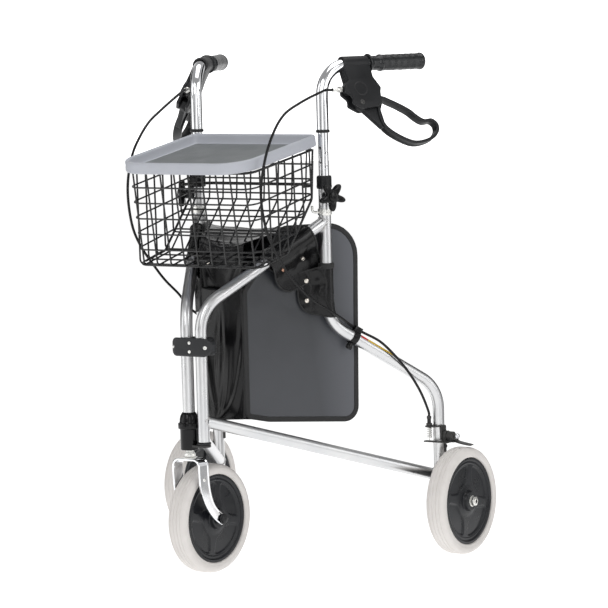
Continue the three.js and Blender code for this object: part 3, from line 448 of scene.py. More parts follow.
class Look:
    """A node material built up from noise, waves and mixes on object coordinates."""

    def __init__(self, name, color, roughness, metallic=0.0):
        self.material = bpy.data.materials.new(name)
        self.material.use_nodes = True
        self.tree = self.material.node_tree
        self.bsdf = self.tree.nodes["Principled BSDF"]
        self.set("Base Color", (*color, 1))
        self.set("Roughness", roughness)
        self.set("Metallic", metallic)
        self.height = None
        self.place = self.node("ShaderNodeTexCoord").outputs["Object"]

    def set(self, name, value):
        self.bsdf.inputs[name].default_value = value

    def node(self, kind, **settings):
        made = self.tree.nodes.new(kind)
        for key, value in settings.items():
            setattr(made, key, value)
        return made

    def link(self, source, target):
        self.tree.links.new(source, target)

    def noise(self, scale, detail=3, rough=0.5):
        made = self.node("ShaderNodeTexNoise")
        made.inputs["Scale"].default_value = scale
        made.inputs["Detail"].default_value = detail
        made.inputs["Roughness"].default_value = rough
        self.link(self.place, made.inputs["Vector"])
        return made.outputs["Fac"]

    def cells(self, scale, feature="F1"):
        made = self.node("ShaderNodeTexVoronoi", feature=feature)
        made.inputs["Scale"].default_value = scale
        self.link(self.place, made.inputs["Vector"])
        return made.outputs["Distance"]

    def wave(self, scale, direction="Z"):
        made = self.node("ShaderNodeTexWave", bands_direction=direction)
        made.inputs["Scale"].default_value = scale
        self.link(self.place, made.inputs["Vector"])
        return made.outputs["Fac"]

    def along(self, axis):
        """The place along one of the object's axes, in metres."""
        split = self.node("ShaderNodeSeparateXYZ")
        self.link(self.place, split.inputs["Vector"])
        return split.outputs[axis]

    def edge(self, low=0.52, high=0.6):
        """0 on flat places and 1 on sharp convex edges."""
        shape = self.node("ShaderNodeNewGeometry").outputs["Pointiness"]
        return self.spread(shape, low, high, 0, 1)

    def spread(self, value, low, high, to_low, to_high):
        made = self.node("ShaderNodeMapRange")
        for name, number in zip(("From Min", "From Max", "To Min", "To Max"),
                                (low, high, to_low, to_high)):
            made.inputs[name].default_value = number
        self.link(value, made.inputs["Value"])
        return made.outputs["Result"]

    def math(self, kind, a, b):
        made = self.node("ShaderNodeMath", operation=kind)
        for slot, value in zip(made.inputs, (a, b)):
            if isinstance(value, (int, float)):
                slot.default_value = value
            else:
                self.link(value, slot)
        return made.outputs["Value"]

    def vary_color(self, value, low, high, color_low, color_high):
        """Base colour between two colours as value goes from low to high."""
        made = self.node("ShaderNodeMix", data_type="RGBA")
        self.link(self.spread(value, low, high, 0, 1), made.inputs["Factor"])
        base = self.bsdf.inputs["Base Color"]
        if color_low is None and base.links:
            self.link(base.links[0].from_socket, made.inputs["A"])
        else:
            made.inputs["A"].default_value = (*(color_low or base.default_value[:3]), 1)
        made.inputs["B"].default_value = (*color_high, 1)
        self.link(made.outputs["Result"], base)
        return self

    def vary_roughness(self, value, low, high, rough_low, rough_high):
        self.link(self.spread(value, low, high, rough_low, rough_high),
                  self.bsdf.inputs["Roughness"])
        return self

    def bump(self, height, distance, strength=1.0):
        made = self.node("ShaderNodeBump")
        made.inputs["Distance"].default_value = distance * MM
        made.inputs["Strength"].default_value = strength
        self.link(height, made.inputs["Height"])
        if self.height:
            self.link(self.height, made.inputs["Normal"])
        self.height = made.outputs["Normal"]
        self.link(self.height, self.bsdf.inputs["Normal"])
        return self

    def coat(self, weight, roughness):
        self.set("Coat Weight", weight)
        self.set("Coat Roughness", roughness)
        return self


def chrome_look():
    look = Look("chrome", (0.86, 0.87, 0.89), 0.1, 1)
    look.vary_roughness(look.noise(50, 2), 0.3, 0.7, 0.06, 0.11)
    return look.bump(look.noise(50, 1), 0.02, 0.03).material


def silver_look():
    """Satin plated tube with faint drawing lines and handling marks."""
    look = Look("satin_silver", (0.62, 0.625, 0.63), 0.3, 1)
    look.vary_color(look.noise(14, 3), 0.35, 0.7, (0.60, 0.605, 0.615), (0.66, 0.66, 0.66))
    look.vary_roughness(look.noise(40, 2), 0.3, 0.75, 0.27, 0.32)
    return look.bump(look.noise(60, 1), 0.03, 0.04).material


def weld_look():
    look = Look("weld_bead", (0.55, 0.55, 0.56), 0.4, 1)
    look.vary_color(look.noise(220, 3), 0.4, 0.7, (0.45, 0.44, 0.43), (0.68, 0.68, 0.69))
    return look.bump(look.noise(380, 2), 0.1, 0.6).material


def zinc_look():
    look = Look("zinc", (0.74, 0.74, 0.72), 0.28, 1)
    look.vary_color(look.noise(160, 3), 0.4, 0.7, (0.66, 0.66, 0.64), (0.82, 0.81, 0.77))
    look.vary_roughness(look.noise(240, 3), 0.3, 0.7, 0.2, 0.42)
    return look.bump(look.noise(800, 2), 0.03, 0.5).material


def plastic_look(name, color, rough, worn):
    """Moulded plastic: a fine grain, small colour drift and edges rubbed paler."""
    look = Look(name, color, rough)
    light = tuple(c * 1.35 for c in color)
    look.vary_color(look.noise(18, 4), 0.35, 0.7, color, light)
    look.vary_color(look.edge(), 0, 1, None, worn)
    look.vary_roughness(look.noise(45, 4), 0.3, 0.7, rough - 0.07, rough + 0.08)
    look.bump(look.noise(900, 2), 0.04, 0.5)
    look.set("Specular IOR Level", 0.24)
    return look.material


def powder_look():
    look = Look("black_powder_coat", (0.008, 0.008, 0.009), 0.38)
    look.vary_color(look.edge(), 0, 1, (0.008, 0.008, 0.009), (0.06, 0.058, 0.055))
    look.vary_roughness(look.noise(70, 3), 0.3, 0.7, 0.3, 0.5)
    look.set("Specular IOR Level", 0.4)
    return look.bump(look.noise(600, 1), 0.06, 0.5).material


def tyre_look():
    """Pale grey rubber with a little road dust and fine moulding marks."""
    look = Look("tyre_grey", (0.72, 0.69, 0.665), 0.6)
    look.vary_color(look.noise(22, 5, 0.6), 0.35, 0.72, (0.68, 0.65, 0.625), (0.75, 0.72, 0.695))
    look.vary_color(look.noise(260, 4, 0.7), 0.62, 0.85, None, (0.60, 0.57, 0.54))
    look.vary_roughness(look.noise(30, 3), 0.3, 0.7, 0.52, 0.7)
    return look.bump(look.noise(750, 3), 0.15, 0.5).material


def hub_look():
    look = Look("hub_plastic", (0.010, 0.011, 0.013), 0.3)
    look.vary_color(look.noise(20, 4), 0.35, 0.7, (0.008, 0.009, 0.011), (0.014, 0.015, 0.018))
    look.vary_color(look.edge(0.53, 0.62), 0, 1, None, (0.045, 0.047, 0.05))
    look.vary_roughness(look.noise(40, 3), 0.3, 0.7, 0.24, 0.36)
    look.set("Specular IOR Level", 0.34)
    return look.bump(look.noise(1100, 2), 0.08, 0.5).material


def grip_look():
    look = Look("grip_rubber", (0.009, 0.010, 0.011), 0.42)
    look.vary_color(look.noise(70, 4), 0.4, 0.75, (0.008, 0.009, 0.010), (0.016, 0.018, 0.020))
    look.vary_roughness(look.noise(90, 4), 0.3, 0.7, 0.2, 0.36)
    look.set("Specular IOR Level", 0.42)
    return look.bump(look.cells(1100), 0.05, 0.4).material


def tray_floor_shade_look():
    """The pocket's floor: the same plastic, painted darker as the shade in the sunken pocket, and with a
    coarser grain.
    """
    look = Look("tray_floor_painted_shade", (0.15, 0.16, 0.165), 0.55)
    look.vary_color(look.noise(11, 4), 0.35, 0.7, (0.14, 0.15, 0.155), (0.17, 0.18, 0.185))
    look.vary_roughness(look.noise(16, 4), 0.3, 0.7, 0.46, 0.64)
    return look.bump(look.cells(1100), 0.12, 0.5).material


def tray_look():
    look = Look("tray_plastic", (0.44, 0.455, 0.50), 0.5)
    look.vary_color(look.noise(9, 4), 0.35, 0.7, (0.42, 0.435, 0.48), (0.455, 0.47, 0.515))
    look.vary_color(look.edge(0.53, 0.64), 0, 1, None, (0.52, 0.535, 0.55))
    look.vary_roughness(look.noise(14, 4), 0.3, 0.7, 0.44, 0.6)
    look.bump(look.cells(900), 0.1, 0.5)
    return look.bump(look.noise(1300, 2), 0.08, 0.5).material


def wire_look():
    """Dipped black coating that is glossy and a little uneven."""
    look = Look("wire_coating", (0.012, 0.012, 0.013), 0.28)
    look.vary_color(look.noise(120, 3), 0.45, 0.8, (0.004, 0.004, 0.0045), (0.012, 0.012, 0.0125))
    look.vary_roughness(look.noise(60, 3), 0.3, 0.7, 0.2, 0.4)
    return look.bump(look.noise(240, 3), 0.25, 0.6).material


def vinyl_look(name, color, light, rough, grain, shine=0.28, painted_light_tint=None):
    """Vinyl: pebbled grain in cells, soft colour drift, a painted sheen along the folds.

    Where that colour is given, the vinyl grows paler towards the back and the foot of the bag: a painted
    sheen towards the back, and painted shade that keeps the top darker."""
    look = Look(name, color, rough)
    look.vary_color(look.noise(7, 4), 0.35, 0.72, color, light)
    # painted light: a painted sheen makes the vinyl paler towards the back of the bag, and painted shade
    # keeps its top darker than its foot
    if painted_light_tint:
        low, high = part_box("right_bag_panel")
        back = look.spread(look.along("Y"), low[1] + 0.45 * (high[1] - low[1]), high[1], 0, 1)
        foot = look.spread(look.along("Z"), high[2], low[2], 0, 0.4)
        look.vary_color(look.math("MAXIMUM", back, foot), 0, 1, None, painted_light_tint)
    look.set("Specular IOR Level", shine)
    # painted sheen: sharp folds and edges are painted paler, as if light were catching them
    look.vary_color(look.edge(0.53, 0.66), 0, 1, None, tuple(min(c * 1.9, 1) for c in light))
    look.vary_roughness(look.noise(28, 5, 0.6), 0.3, 0.72, rough - 0.08, rough + 0.1)
    look.bump(look.cells(620, "SMOOTH_F1"), grain, 0.55)
    look.bump(look.noise(1500, 2), 0.05, 0.5)
    look.set("Sheen Weight", 0.03)
    look.set("Sheen Roughness", 0.4)
    return look.material


def woven_look():
    """Binding tape: fine ribs across a black weave."""
    look = Look("binding_tape", (0.012, 0.012, 0.013), 0.62)
    ribs = look.math("MULTIPLY", look.wave(330, "Z"), look.wave(330, "DIAGONAL"))
    look.vary_color(ribs, 0.1, 0.9, (0.004, 0.004, 0.0045), (0.011, 0.011, 0.0115))
    look.bump(ribs, 0.25, 0.7)
    look.set("Sheen Weight", 0.05)
    return look.bump(look.noise(200, 3), 0.15).material


def thread_look():
    look = Look("thread", (0.03, 0.03, 0.032), 0.5)
    look.vary_color(look.noise(900, 2), 0.4, 0.7, (0.012, 0.012, 0.013), (0.04, 0.04, 0.042))
    return look.bump(look.wave(900, "DIAGONAL"), 0.1).material


def stud_look(name, color):
    look = Look(name, color, 0.2, 1)
    look.vary_color(look.noise(500, 3), 0.4, 0.7, color, tuple(c * 0.7 for c in color))
    return look.bump(look.noise(300, 2), 0.05, 0.5).material


def sticker_look(name, color):
    look = Look(name, color, 0.3)
    light = tuple(min(1, c * 1.15 + 0.02) for c in color)
    look.vary_color(look.noise(60, 3), 0.4, 0.75, color, light)
    return look.bump(look.noise(900, 2), 0.03, 0.4).coat(0.5, 0.12).material


CHROME = chrome_look()
SILVER = silver_look()
WELD = weld_look()
ZINC = zinc_look()
BLACK = plastic_look("black_nylon", (0.0075, 0.008, 0.009), 0.42, (0.03, 0.03, 0.032))
GLOSS_BLACK = plastic_look("gloss_black", (0.004, 0.004, 0.0045), 0.16, (0.012, 0.012, 0.012))
BRACKET_BLACK = plastic_look("bracket_plastic", (0.021, 0.022, 0.024), 0.42, (0.05, 0.05, 0.053))
CABLE_BLACK = plastic_look("cable_sheath", (0.004, 0.004, 0.0045), 0.25, (0.008, 0.008, 0.008))
POWDER = powder_look()
TYRE = tyre_look()
HUB = hub_look()
GRIP = grip_look()
TRAY = tray_look()
TRAY_FLOOR_SHADE = tray_floor_shade_look()
WIRE = wire_look()
VINYL = vinyl_look("black_vinyl", (0.0035, 0.0035, 0.004), (0.007, 0.007, 0.0075), 0.22, 0.1)
GREY_VINYL = vinyl_look("grey_vinyl", (0.012, 0.0135, 0.016), (0.020, 0.022, 0.026), 0.36, 0.12, 0.5,
                        painted_light_tint=(0.105, 0.11, 0.125))
TAPE = woven_look()
THREAD = thread_look()
NICKEL = stud_look("stud_nickel", (0.72, 0.68, 0.62))
COPPER = stud_look("stud_copper", (0.72, 0.42, 0.30))
RED = sticker_look("strip_red", (0.62, 0.03, 0.02))
YELLOW = sticker_look("strip_yellow", (0.80, 0.52, 0.03))


# ---------------------------------------------------------------- pieces

def piece(name, shape, look, body=None, replaces=(), crease=38, subdivide=0):
    """A shape in metres as a named object that rides on a body."""
    mesh = bpy.data.meshes.new(name)
    mesh.from_pydata([tuple(v) for v in shape.verts], [], shape.faces)
    bm = bmesh.new()
    bm.from_mesh(mesh)
    bmesh.ops.remove_doubles(bm, verts=bm.verts, dist=1e-6)
    bmesh.ops.recalc_face_normals(bm, faces=bm.faces)
    bm.to_mesh(mesh)
    bm.free()
    mesh.materials.append(look)
    mesh.shade_smooth()
    mesh.set_sharp_from_angle(angle=math.radians(crease))
    obj = bpy.data.objects.new(name, mesh)
    bpy.context.scene.collection.objects.link(obj)
    if subdivide:
        modifier = obj.modifiers.new("Subdivision", "SUBSURF")
        modifier.levels = modifier.render_levels = subdivide
    if body:
        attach(obj, body)
    if replaces:
        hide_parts(*replaces)
    return obj


def body_of_node(node):
    return frame["nodes"][node]["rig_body"]


def frame_body(side):
    return f"{word(side)}_frame"


def slope_z(along):
    return SLOPE_FRONT_Z - (along - UPRIGHT) * (SLOPE_FRONT_Z - SLOPE_REAR_Z) / (REAR_LEG - UPRIGHT)


def diagonal_z(along):
    return DIAGONAL_FRONT_Z + along * (DIAGONAL_REAR_Z - DIAGONAL_FRONT_Z) / UPRIGHT


def weld_bead(start, direction, post):
    """A closed bead where a tube from start along direction meets a vertical post."""
    direction = direction.normalized()
    across = direction.cross(Vector((0, 0, 1))).normalized()
    over = across.cross(direction)
    path = []
    for a, b in circle(TUBE_R + 0.4, 48):
        foot = start + across * a + over * b
        flat = Vector((foot.x - post.x, foot.y - post.y))
        run = Vector((direction.x, direction.y))
        # distance along the tube to the post's surface, from |flat + t run| = post radius
        half_b = flat.dot(run)
        root = half_b ** 2 - run.dot(run) * (flat.dot(flat) - (TUBE_R + 0.3) ** 2)
        t = (-half_b - math.sqrt(max(root, 0))) / run.dot(run)
        path.append(foot + direction * t)
    rings = []
    for k, (point, (a1, a2)) in enumerate(zip(path, path_frames(path, True))):
        size = 1.5 * (1 + 0.18 * math.sin(k * 2.4) + 0.1 * math.sin(k * 5.3))
        rings.append([point + a1 * a + a2 * b for a, b in circle(size, 8)])
    return loft(rings, loop=True)


def make_frame_tubes():
    for side in SIDES:
        place, who, body = side_matrix(side), word(side), frame_body(side)
        foot = LEFT_LEG_FOOT if side == LEFT else RIGHT_LEG_FOOT
        end = UPRIGHT - TUBE_SETTLE
        fall = (LOWER_FRONT_Z - LOWER_REAR_Z) / REAR_LEG
        # the right lower tube starts behind the caster housing, not at the leg itself
        low, high = (TUBE_SETTLE if side == LEFT else 14), REAR_LEG - TUBE_SETTLE
        paths = {
            "side": [(0, UPRIGHT, UPRIGHT_TOP), (0, UPRIGHT, SLOPE_FRONT_Z),
                     (0, REAR_LEG, SLOPE_REAR_Z), (0, REAR_LEG, REAR_LEG_FOOT)],
            "front": [(0, 0, foot), (0, 0, DIAGONAL_FRONT_Z), (0, end, diagonal_z(end))],
            "lower": [(0, low, LOWER_FRONT_Z - low * fall), (0, high, LOWER_FRONT_Z - high * fall)],
        }
        for name, path in paths.items():
            piece(f"{who}_{name}_tube_steel", tube(path, TUBE_R, TUBE_BORE_R).moved(place), SILVER,
                  body, [f"{who}_{name}_tube"])
        # each bead is found from a place well along its tube
        climb = Vector((0, UPRIGHT, DIAGONAL_REAR_Z - DIAGONAL_FRONT_Z))
        beads = weld_bead(Vector((0, 60, diagonal_z(60))), climb, Vector((0, UPRIGHT, 0)))
        down = Vector((0, 1, -fall))
        middle = Vector((0, 240, LOWER_FRONT_Z - 240 * fall))
        beads.add(weld_bead(middle, down, Vector((0, REAR_LEG, 0))))
        if side == LEFT:
            beads.add(weld_bead(middle, -down, Vector((0, 0, 0))))
        piece(f"{who}_weld_beads", beads.moved(place), WELD, body)
        profile = [(0.01, -1.5), (9, -1.5), (10.8, -0.6), (10.8, 0.4), (9.6, 1), (9.6, 14), (0.01, 14)]
        at_foot = place @ Matrix.Translation((0, REAR_LEG, REAR_LEG_FOOT))
        piece(f"{who}_leg_end_cap", lathe(profile).moved(at_foot), BLACK, body)


def make_stripes():
    """A thin red and yellow strip on the outer face of each sloping tube."""
    direction = Vector((0, REAR_LEG - UPRIGHT, SLOPE_REAR_Z - SLOPE_FRONT_Z)).normalized()
    outwards = Vector((1, 0, 0))
    over = outwards.cross(direction)
    angles = [math.radians(angle) for angle in np.linspace(38, 78, 8)]
    for side in SIDES:
        for name, look, start, end in (("red", RED, 319, 332), ("yellow", YELLOW, 333, 392)):
            rings = []
            for along in np.linspace(start, end, 12):
                axis = Vector((0, along, slope_z(along)))
                around = [(TUBE_R + 0.12, a) for a in angles] + [(TUBE_R - 0.3, a) for a in angles[::-1]]
                rings.append([axis + outwards * radius * math.cos(a) + over * radius * math.sin(a)
                              for radius, a in around])
            piece(f"{word(side)}_strip_{name}", loft(rings).moved(side_matrix(side)), look,
                  frame_body(side))


def refined(node, look, width, segments=2):
    """A CAD node's own form with its flat faces joined and its edges rounded off."""
    source = bpy.data.objects[node]
    bm = bmesh.new()
    bm.from_mesh(source.data)
    bm.transform(source.matrix_world)
    bmesh.ops.scale(bm, vec=(1000, 1000, 1000), verts=bm.verts)
    bmesh.ops.remove_doubles(bm, verts=bm.verts, dist=1e-3)
    bmesh.ops.dissolve_limit(bm, angle_limit=math.radians(2), verts=bm.verts, edges=bm.edges)
    shape = softened(shape_of(bm), width, segments, 28).moved(Matrix.Scale(MM, 4))
    piece(f"{node}_skin", shape, look, body_of_node(node), [node], crease=40)


# ---------------------------------------------------------------- fold hinge, caster and wheels

def rivet(centre, direction, radius, height):
    """A domed rivet head standing on centre along a direction."""
    profile = [(radius, -0.4), (radius, 0)]
    profile += [(radius * math.cos(t), height * math.sin(t)) for t in np.linspace(0.15, 1.5, 7)]
    return lathe(profile, 24).moved(Matrix.Translation(Vector(centre)) @ facing(direction))


def make_hinge():
    low, high, reach, half, corner = 404, 438, 44, 15.5, 14
    rings = []
    edge = [(0, 2.4), (0.8, 1.1), (2.4, 0.2), (4, 0)]
    levels = [(low + z, inset) for z, inset in edge] + [(high - z, inset) for z, inset in edge[::-1]]
    for z, inset in levels:
        x, y, r = reach - inset, half - inset, corner - inset
        outline = rounded([(-x, -y, r), (x, -y, r), (x, y, r), (-x, y, r)], 8)
        rings.append([Vector((a, b, z)) for a, b in outline])
    body = loft(rings)
    # the ends taper in height, past where the flat middle stops
    middle, flat = (low + high) / 2, 29.5
    for v in body.verts:
        over = max(abs(v.x) - flat, 0) / (reach - flat)
        v.z = middle + (v.z - middle) * math.sqrt(max(1 - over ** 2, 0.12))
    piece("hinge_bracket_shell", body.moved(MODEL), BRACKET_BLACK, "right_frame",
          ["hinge_bracket"])
    rivets = Shape()
    for x, z, direction, radius in ((0, 429, (0, -1, 0), 3.2), (0, 413, (0, -1, 0), 3.2),
                                    (-36, 421, (-0.42, -0.9, 0), 2.6)):
        y = set_back(corner, abs(x) - (reach - corner)) - half
        rivets.add(rivet((x, y, z), direction, radius, 1.5))
    rivets.add(rivet((34.5, -14.9, 421), (0.3, -0.95, 0), 3.6, 1.2))
    piece("hinge_rivets", rivets.moved(MODEL), ZINC, "right_frame")
    tongue = rounded([(-9, -11, 2), (29, -12, 11.5), (29, 12, 11.5), (-9, 11, 2)], 10)
    plate = softened(prism(tongue, 238, 242), 0.7)
    plate.add(straight((HINGE_HALF, 0, 241.5), (HINGE_HALF, 0, 261.5), 4, 24))
    plate.add(rivet((HINGE_HALF, 0, 238), (0, 0, -1), 5, 1.6))
    piece("lower_hinge_tongue", plate.moved(MODEL), POWDER, "right_frame",
          ["lower_hinge_plate"])
    plug = lathe([(4.4, 242.7), (12.2, 242.7), (13, 243.5), (13, 246), (12.3, 246.8), (9.7, 247),
                  (9.7, 269), (4.4, 269)], 40, loop=True)
    piece("left_leg_plug_skin", plug.moved(MODEL @ Matrix.Translation((HINGE_HALF, 0, 0))), BLACK,
          "left_frame", ["left_leg_plug"])


def make_caster_housing():
    profile = [(6.7, 232.2), (15.4, 232.2), (16.6, 232.8), (17, 234), (17, 268), (17.2, 269.8),
               (18.2, 270.6), (19.6, 271), (20.3, 271.8), (20.4, 273), (20.4, 279.4), (20.2, 280.8),
               (19.4, 281.6), (18, 282), (17.5, 282.8), (17.4, 285), (17.2, 288), (16.7, 291),
               (15.8, 294), (14.6, 296.8), (13.2, 299), (12, 300.6), (11.3, 301), (11.3, 258),
               (6.7, 258)]
    at = MODEL @ Matrix.Translation((-HINGE_HALF, 0, 0))
    piece("caster_housing_shell", lathe(profile, 64, loop=True).moved(at), GLOSS_BLACK,
          "right_frame", ["caster_housing"], crease=30)


def fork_section(run, from_stem):
    """The fork's pressed channel, a run from its nearer end; from_stem is 0 at the stem, up to 1."""
    full = 9.8 + 3.6 * smooth_step((run - 40) / 60)
    if run < 8:
        full *= math.sqrt(max(1 - (1 - run / 8) ** 2, 0.02))
    # drawn in between the two lobes, at the stem
    full *= 1 - 0.2 * math.exp(-(from_stem / 0.45) ** 2)
    ridge, floor = max(full - 3.2, full * 0.3), max(full - 1.9, full * 0.5)
    lip = 2.4 if run > 8 else 1.2
    outside = [(full * 0.4, -2.7), (full * 0.72, -2.3), (full - 0.5, -1.5), (full, -0.9),
               (full, lip - 0.8), (full - 0.7, lip), (floor, lip), (ridge, 0.8)]
    mirrored = [(-a, b) for a, b in reversed(outside)]
    return mirrored[5:] + [(0, -2.9)] + outside + mirrored[:5]


def make_caster():
    yaw = Matrix.Rotation(math.radians(-4), 4, "Z")
    place = MODEL @ Matrix.Translation((-HINGE_HALF, 0, 0)) @ yaw
    arm = 30.3
    down = [(58.5, 95), (52, 98.2), (44, 102.5), (35, 108.6), (26.5, 116.5), (18.5, 126),
            (11.2, 138.5), (6, 152), (2.4, 166), (1, 180), (0.2, 194)]
    blade = spline([(arm, y, z) for y, z in down], 3)
    crown = bent([(arm, 0, 196), (arm, 0, 214.4), (-arm, 0, 214.4), (-arm, 0, 196)], 13, 10)
    far = [Vector((-p.x, p.y, p.z)) for p in reversed(blade)]
    path = blade + crown[1:-1] + far
    lengths = run_lengths(path)
    total = lengths[-1]

    def section(k):
        run = min(lengths[k], total - lengths[k])
        return fork_section(run, min(abs(lengths[k] - total / 2) / 26, 1))

    shape = sweep(path, section, first=(0, -0.57, -0.82))
    piece("caster_fork_steel", shape.moved(place), CHROME, "caster",
          ["caster_fork"], crease=30)
    rivets = Shape()
    for x in (arm, -arm):
        rivets.add(rivet((x + math.copysign(0.9, x), 1.3, 178), (x, 0, 0), 3.4, 1.6))
    piece("fork_rivets", rivets.moved(place), ZINC, "caster")
    stem = lathe([(0.01, 217.2), (13.4, 217.2), (13.4, 218.6), (0.01, 218.7)], 40)
    stem.add(hexagon(10.8, 218.6, 226))
    stem.add(lathe([(0.01, 226), (8.8, 226), (8.8, 227.6), (7.6, 228.2), (7.4, 231.6), (6, 232),
                    (6, 255.5), (0.01, 255.5)], 40))
    piece("caster_stem_steel", stem.moved(place), ZINC, "caster", ["caster_stem"])


def tyre_profile():
    """Rounded tread with four grooves, and sidewalls with a raised ring."""
    half = 20
    outer = []
    for h in np.linspace(-half, half, 101):
        over = max(abs(h) - 9, 0) / 11
        radius = WHEEL_R - 9.2 * set_back(1, over) - 0.5 * (h / half) ** 2
        for centre in (3.9, 11.4):
            radius -= 1.2 * math.exp(-((abs(h) - centre) / 0.75) ** 4)
        outer.append((radius, h))
    side = [(89, 20), (87.2, 19.95), (86.2, 19.4), (84.6, 19.2), (83.4, 19.0), (82.2, 18.2),
            (81.3, 16.6)]
    return [(r, -h) for r, h in reversed(side)] + outer + side


def pocket_depth(radius, angle):
    """How far a point is into one of four rounded pockets, from 0 to 1."""
    inner, outer, half_spoke, corner = 33, 67, 6.5, 8
    nearest = min(abs((angle - s + 180) % 360 - 180) for s in (80, 170, 260, 350))
    flare = 5 * math.exp(-(radius - inner) / 9)
    from_spoke = radius * math.sin(math.radians(nearest)) - half_spoke - flare
    from_ring = min(radius - inner, outer - radius)
    reach = math.hypot(max(corner - from_ring, 0), max(corner - from_spoke, 0))
    return smooth_step((corner - reach) / 2.3)


def hub_face(boss, side):
    """One face of a hub as rings from the bore to the rim."""
    def height(radius, angle):
        level = 13.6 + (boss - 13.6) * smooth_step((20.5 - radius) / 3.5)
        level += 1.2 * smooth_step((31 - radius) / 9)
        level += 0.9 * smooth_step((radius - 68.5) / 1.5) * (1 - smooth_step((radius - 72) / 1.5))
        level += 2.9 * smooth_step((radius - 74.5) / 2)
        level -= 0.8 * smooth_step((radius - 79.5) / 1.5)
        return level - 2.8 * pocket_depth(radius, angle)

    radii = [5.6, 6.4, 8, 11, 14, *np.linspace(16, 21, 8), *np.linspace(22, 30, 9),
             *np.linspace(31, HUB_R, 66)]
    rings = []
    for radius in radii:
        ring = []
        for k in range(240):
            angle = 360 * k / 240
            t = math.radians(angle)
            level = height(radius, angle if side > 0 else -angle)
            if radius < 6:
                level -= 0.8
            ring.append(Vector((radius * math.cos(t), radius * math.sin(t), side * level)))
        rings.append(ring)
    return rings


def make_wheel(label, body, place, boss):
    piece(f"{label}_tyre_rubber", lathe(tyre_profile(), 128, loop=True).moved(place), TYRE, body,
          [f"{label}_tyre"], crease=50)
    outside, inside = hub_face(boss, 1), hub_face(boss, -1)
    shape = loft(inside[::-1][-1:] + inside[1:] + outside[::-1], loop=True)
    piece(f"{label}_hub_web", shape.moved(place), HUB, body, [f"{label}_hub"],
          crease=60)


def make_wheels():
    for side in SIDES:
        who = word(side)
        place = wheel_matrix(WHEEL_AT[side], Vector((side, 0, 0)))
        make_wheel(f"{who}_rear", f"{who}_rear_wheel", place, 22)
        refined(f"{who}_rear_axle", ZINC, 0.5)
        nut_body = body_of_node(f"{who}_axle_nut")
        nut = lathe([(5.4, 22.4), (9.6, 22.4), (10.4, 22.8), (10.4, 23.7), (9.8, 24), (5.4, 24)], 40,
                    loop=True)
        nut.add(hexagon(9.6, 24, 31))
        nut.add(lathe([(3.3, 30), (4.9, 30), (4.9, 32.1), (4.5, 32.7), (3.5, 32.7), (3.3, 32.4)], 32,
                      loop=True))
        core = lathe([(0.01, 30.5), (3.4, 30.5), (3.4, 31.6), (0.01, 31.6)], 24)
        piece(f"{who}_axle_nut_core", core.moved(place), GLOSS_BLACK, nut_body)
        piece(f"{who}_axle_nut_steel", nut.moved(place), ZINC, nut_body,
              [f"{who}_axle_nut"])
    place = wheel_matrix(joint_at("front_wheel_spin"), joint_axis("front_wheel_spin"))
    make_wheel("front", "front_wheel", place, 23)
    cap = hexagon(8.8, 33.4, 37.6)
    cap.add(lathe([(0.01, 33.3), (9.9, 33.3), (9.9, 34.2), (9.2, 34.6), (0.01, 34.6)], 32))
    cap.add(lathe([(0.01, 37.4), (4.4, 37.4), (4.4, 38), (3, 38.3), (0.01, 38.3)], 24))
    axle = Shape().add(cap, cap.moved(Matrix.Scale(-1, 4, (0, 0, 1))))
    axle.add(lathe([(0.01, -33.4), (4.9, -33.4), (4.9, 33.4), (0.01, 33.4)], 24))
    piece("front_axle_steel", axle.moved(place), BLACK, body_of_node("front_axle"),
          ["front_axle"])


# ---------------------------------------------------------------- clamps, handles and grips

def make_clamp(side):
    who, body = word(side), frame_body(side)
    place = side_matrix(side) @ Matrix.Translation((0, UPRIGHT, 0))
    at_knob = Matrix.Translation((0, 0, KNOB_Z)) @ ONTO_X
    profile = [(11.4, 694.4), (12.4, 694.4), (13.4, 695), (14, 696.4), (14.2, 698), (14.2, 700),
               (13.8, 701), (13.8, 714.6), (13.4, 716.6), (12.6, 718), (11.5, 718.5), (9.9, 718.5),
               (9.9, 716), (11.4, 716)]
    shape = lathe(profile, 48, loop=True)
    boss = lathe([(3.8, 9.9), (10.6, 9.9), (10.2, 12), (9.2, 13.6), (8.8, 15), (8.6, 22.6),
                  (8.2, 23.8), (7.4, 24.2), (3.8, 24.2)], 36, loop=True)
    shape.add(boss.moved(at_knob), softened(block((11.3, -5, 679), (14.2, 5, 700)), 0.9))
    piece(f"{who}_clamp_collar_body", shape.moved(place), BLACK, body,
          [f"{who}_clamp_collar"])
    make_knob(who, place @ at_knob @ Matrix.Rotation(0 if side == LEFT else math.pi, 4, "Z"))
    refined(f"{who}_basket_hook", ZINC, 0.4)


def make_knob(who, place):
    """Five-lobed star knob with a raised cap and its bolt."""
    rings = []
    levels = [(25.2, 0.80), (26, 0.93), (27.4, 0.985), (29, 1), (33, 1), (34.8, 0.985), (36.2, 0.93),
              (36.9, 0.82), (36.9, 0.5), (36.2, 0.36)]
    waist, reach, dish = 12.6, 27, 10.5
    for face, scale in levels:
        ring = []
        for a, b in circle(1, 160):
            lobe = (0.5 + 0.5 * math.cos(5 * math.atan2(b, a))) ** 1.15
            radius = (waist + (reach - waist) * lobe) * scale
            # the inner two levels are dished round the cap
            if scale < 0.6:
                radius = dish * scale / 0.5 + (radius - dish * scale / 0.5) * 0.25
            ring.append(Vector((radius * a, radius * b, face)))
        rings.append(ring)
    knob = loft(rings)
    knob.add(lathe([(0.01, 36), (9, 36), (9, 38.2), (8.4, 39.4), (7, 40), (0.01, 39.8)], 40))
    knob.add(lathe([(0.01, 10.4), (3.4, 10.4), (3.4, 26), (0.01, 26)], 24))
    knob.add(lathe([(3.6, 24.6), (8.2, 24.6), (8.2, 25.4), (3.6, 25.4)], 32, loop=True))
    piece(f"{who}_clamp_knob_star", knob.moved(place), GLOSS_BLACK,
          body_of_node(f"{who}_clamp_knob"), [f"{who}_clamp_knob"])


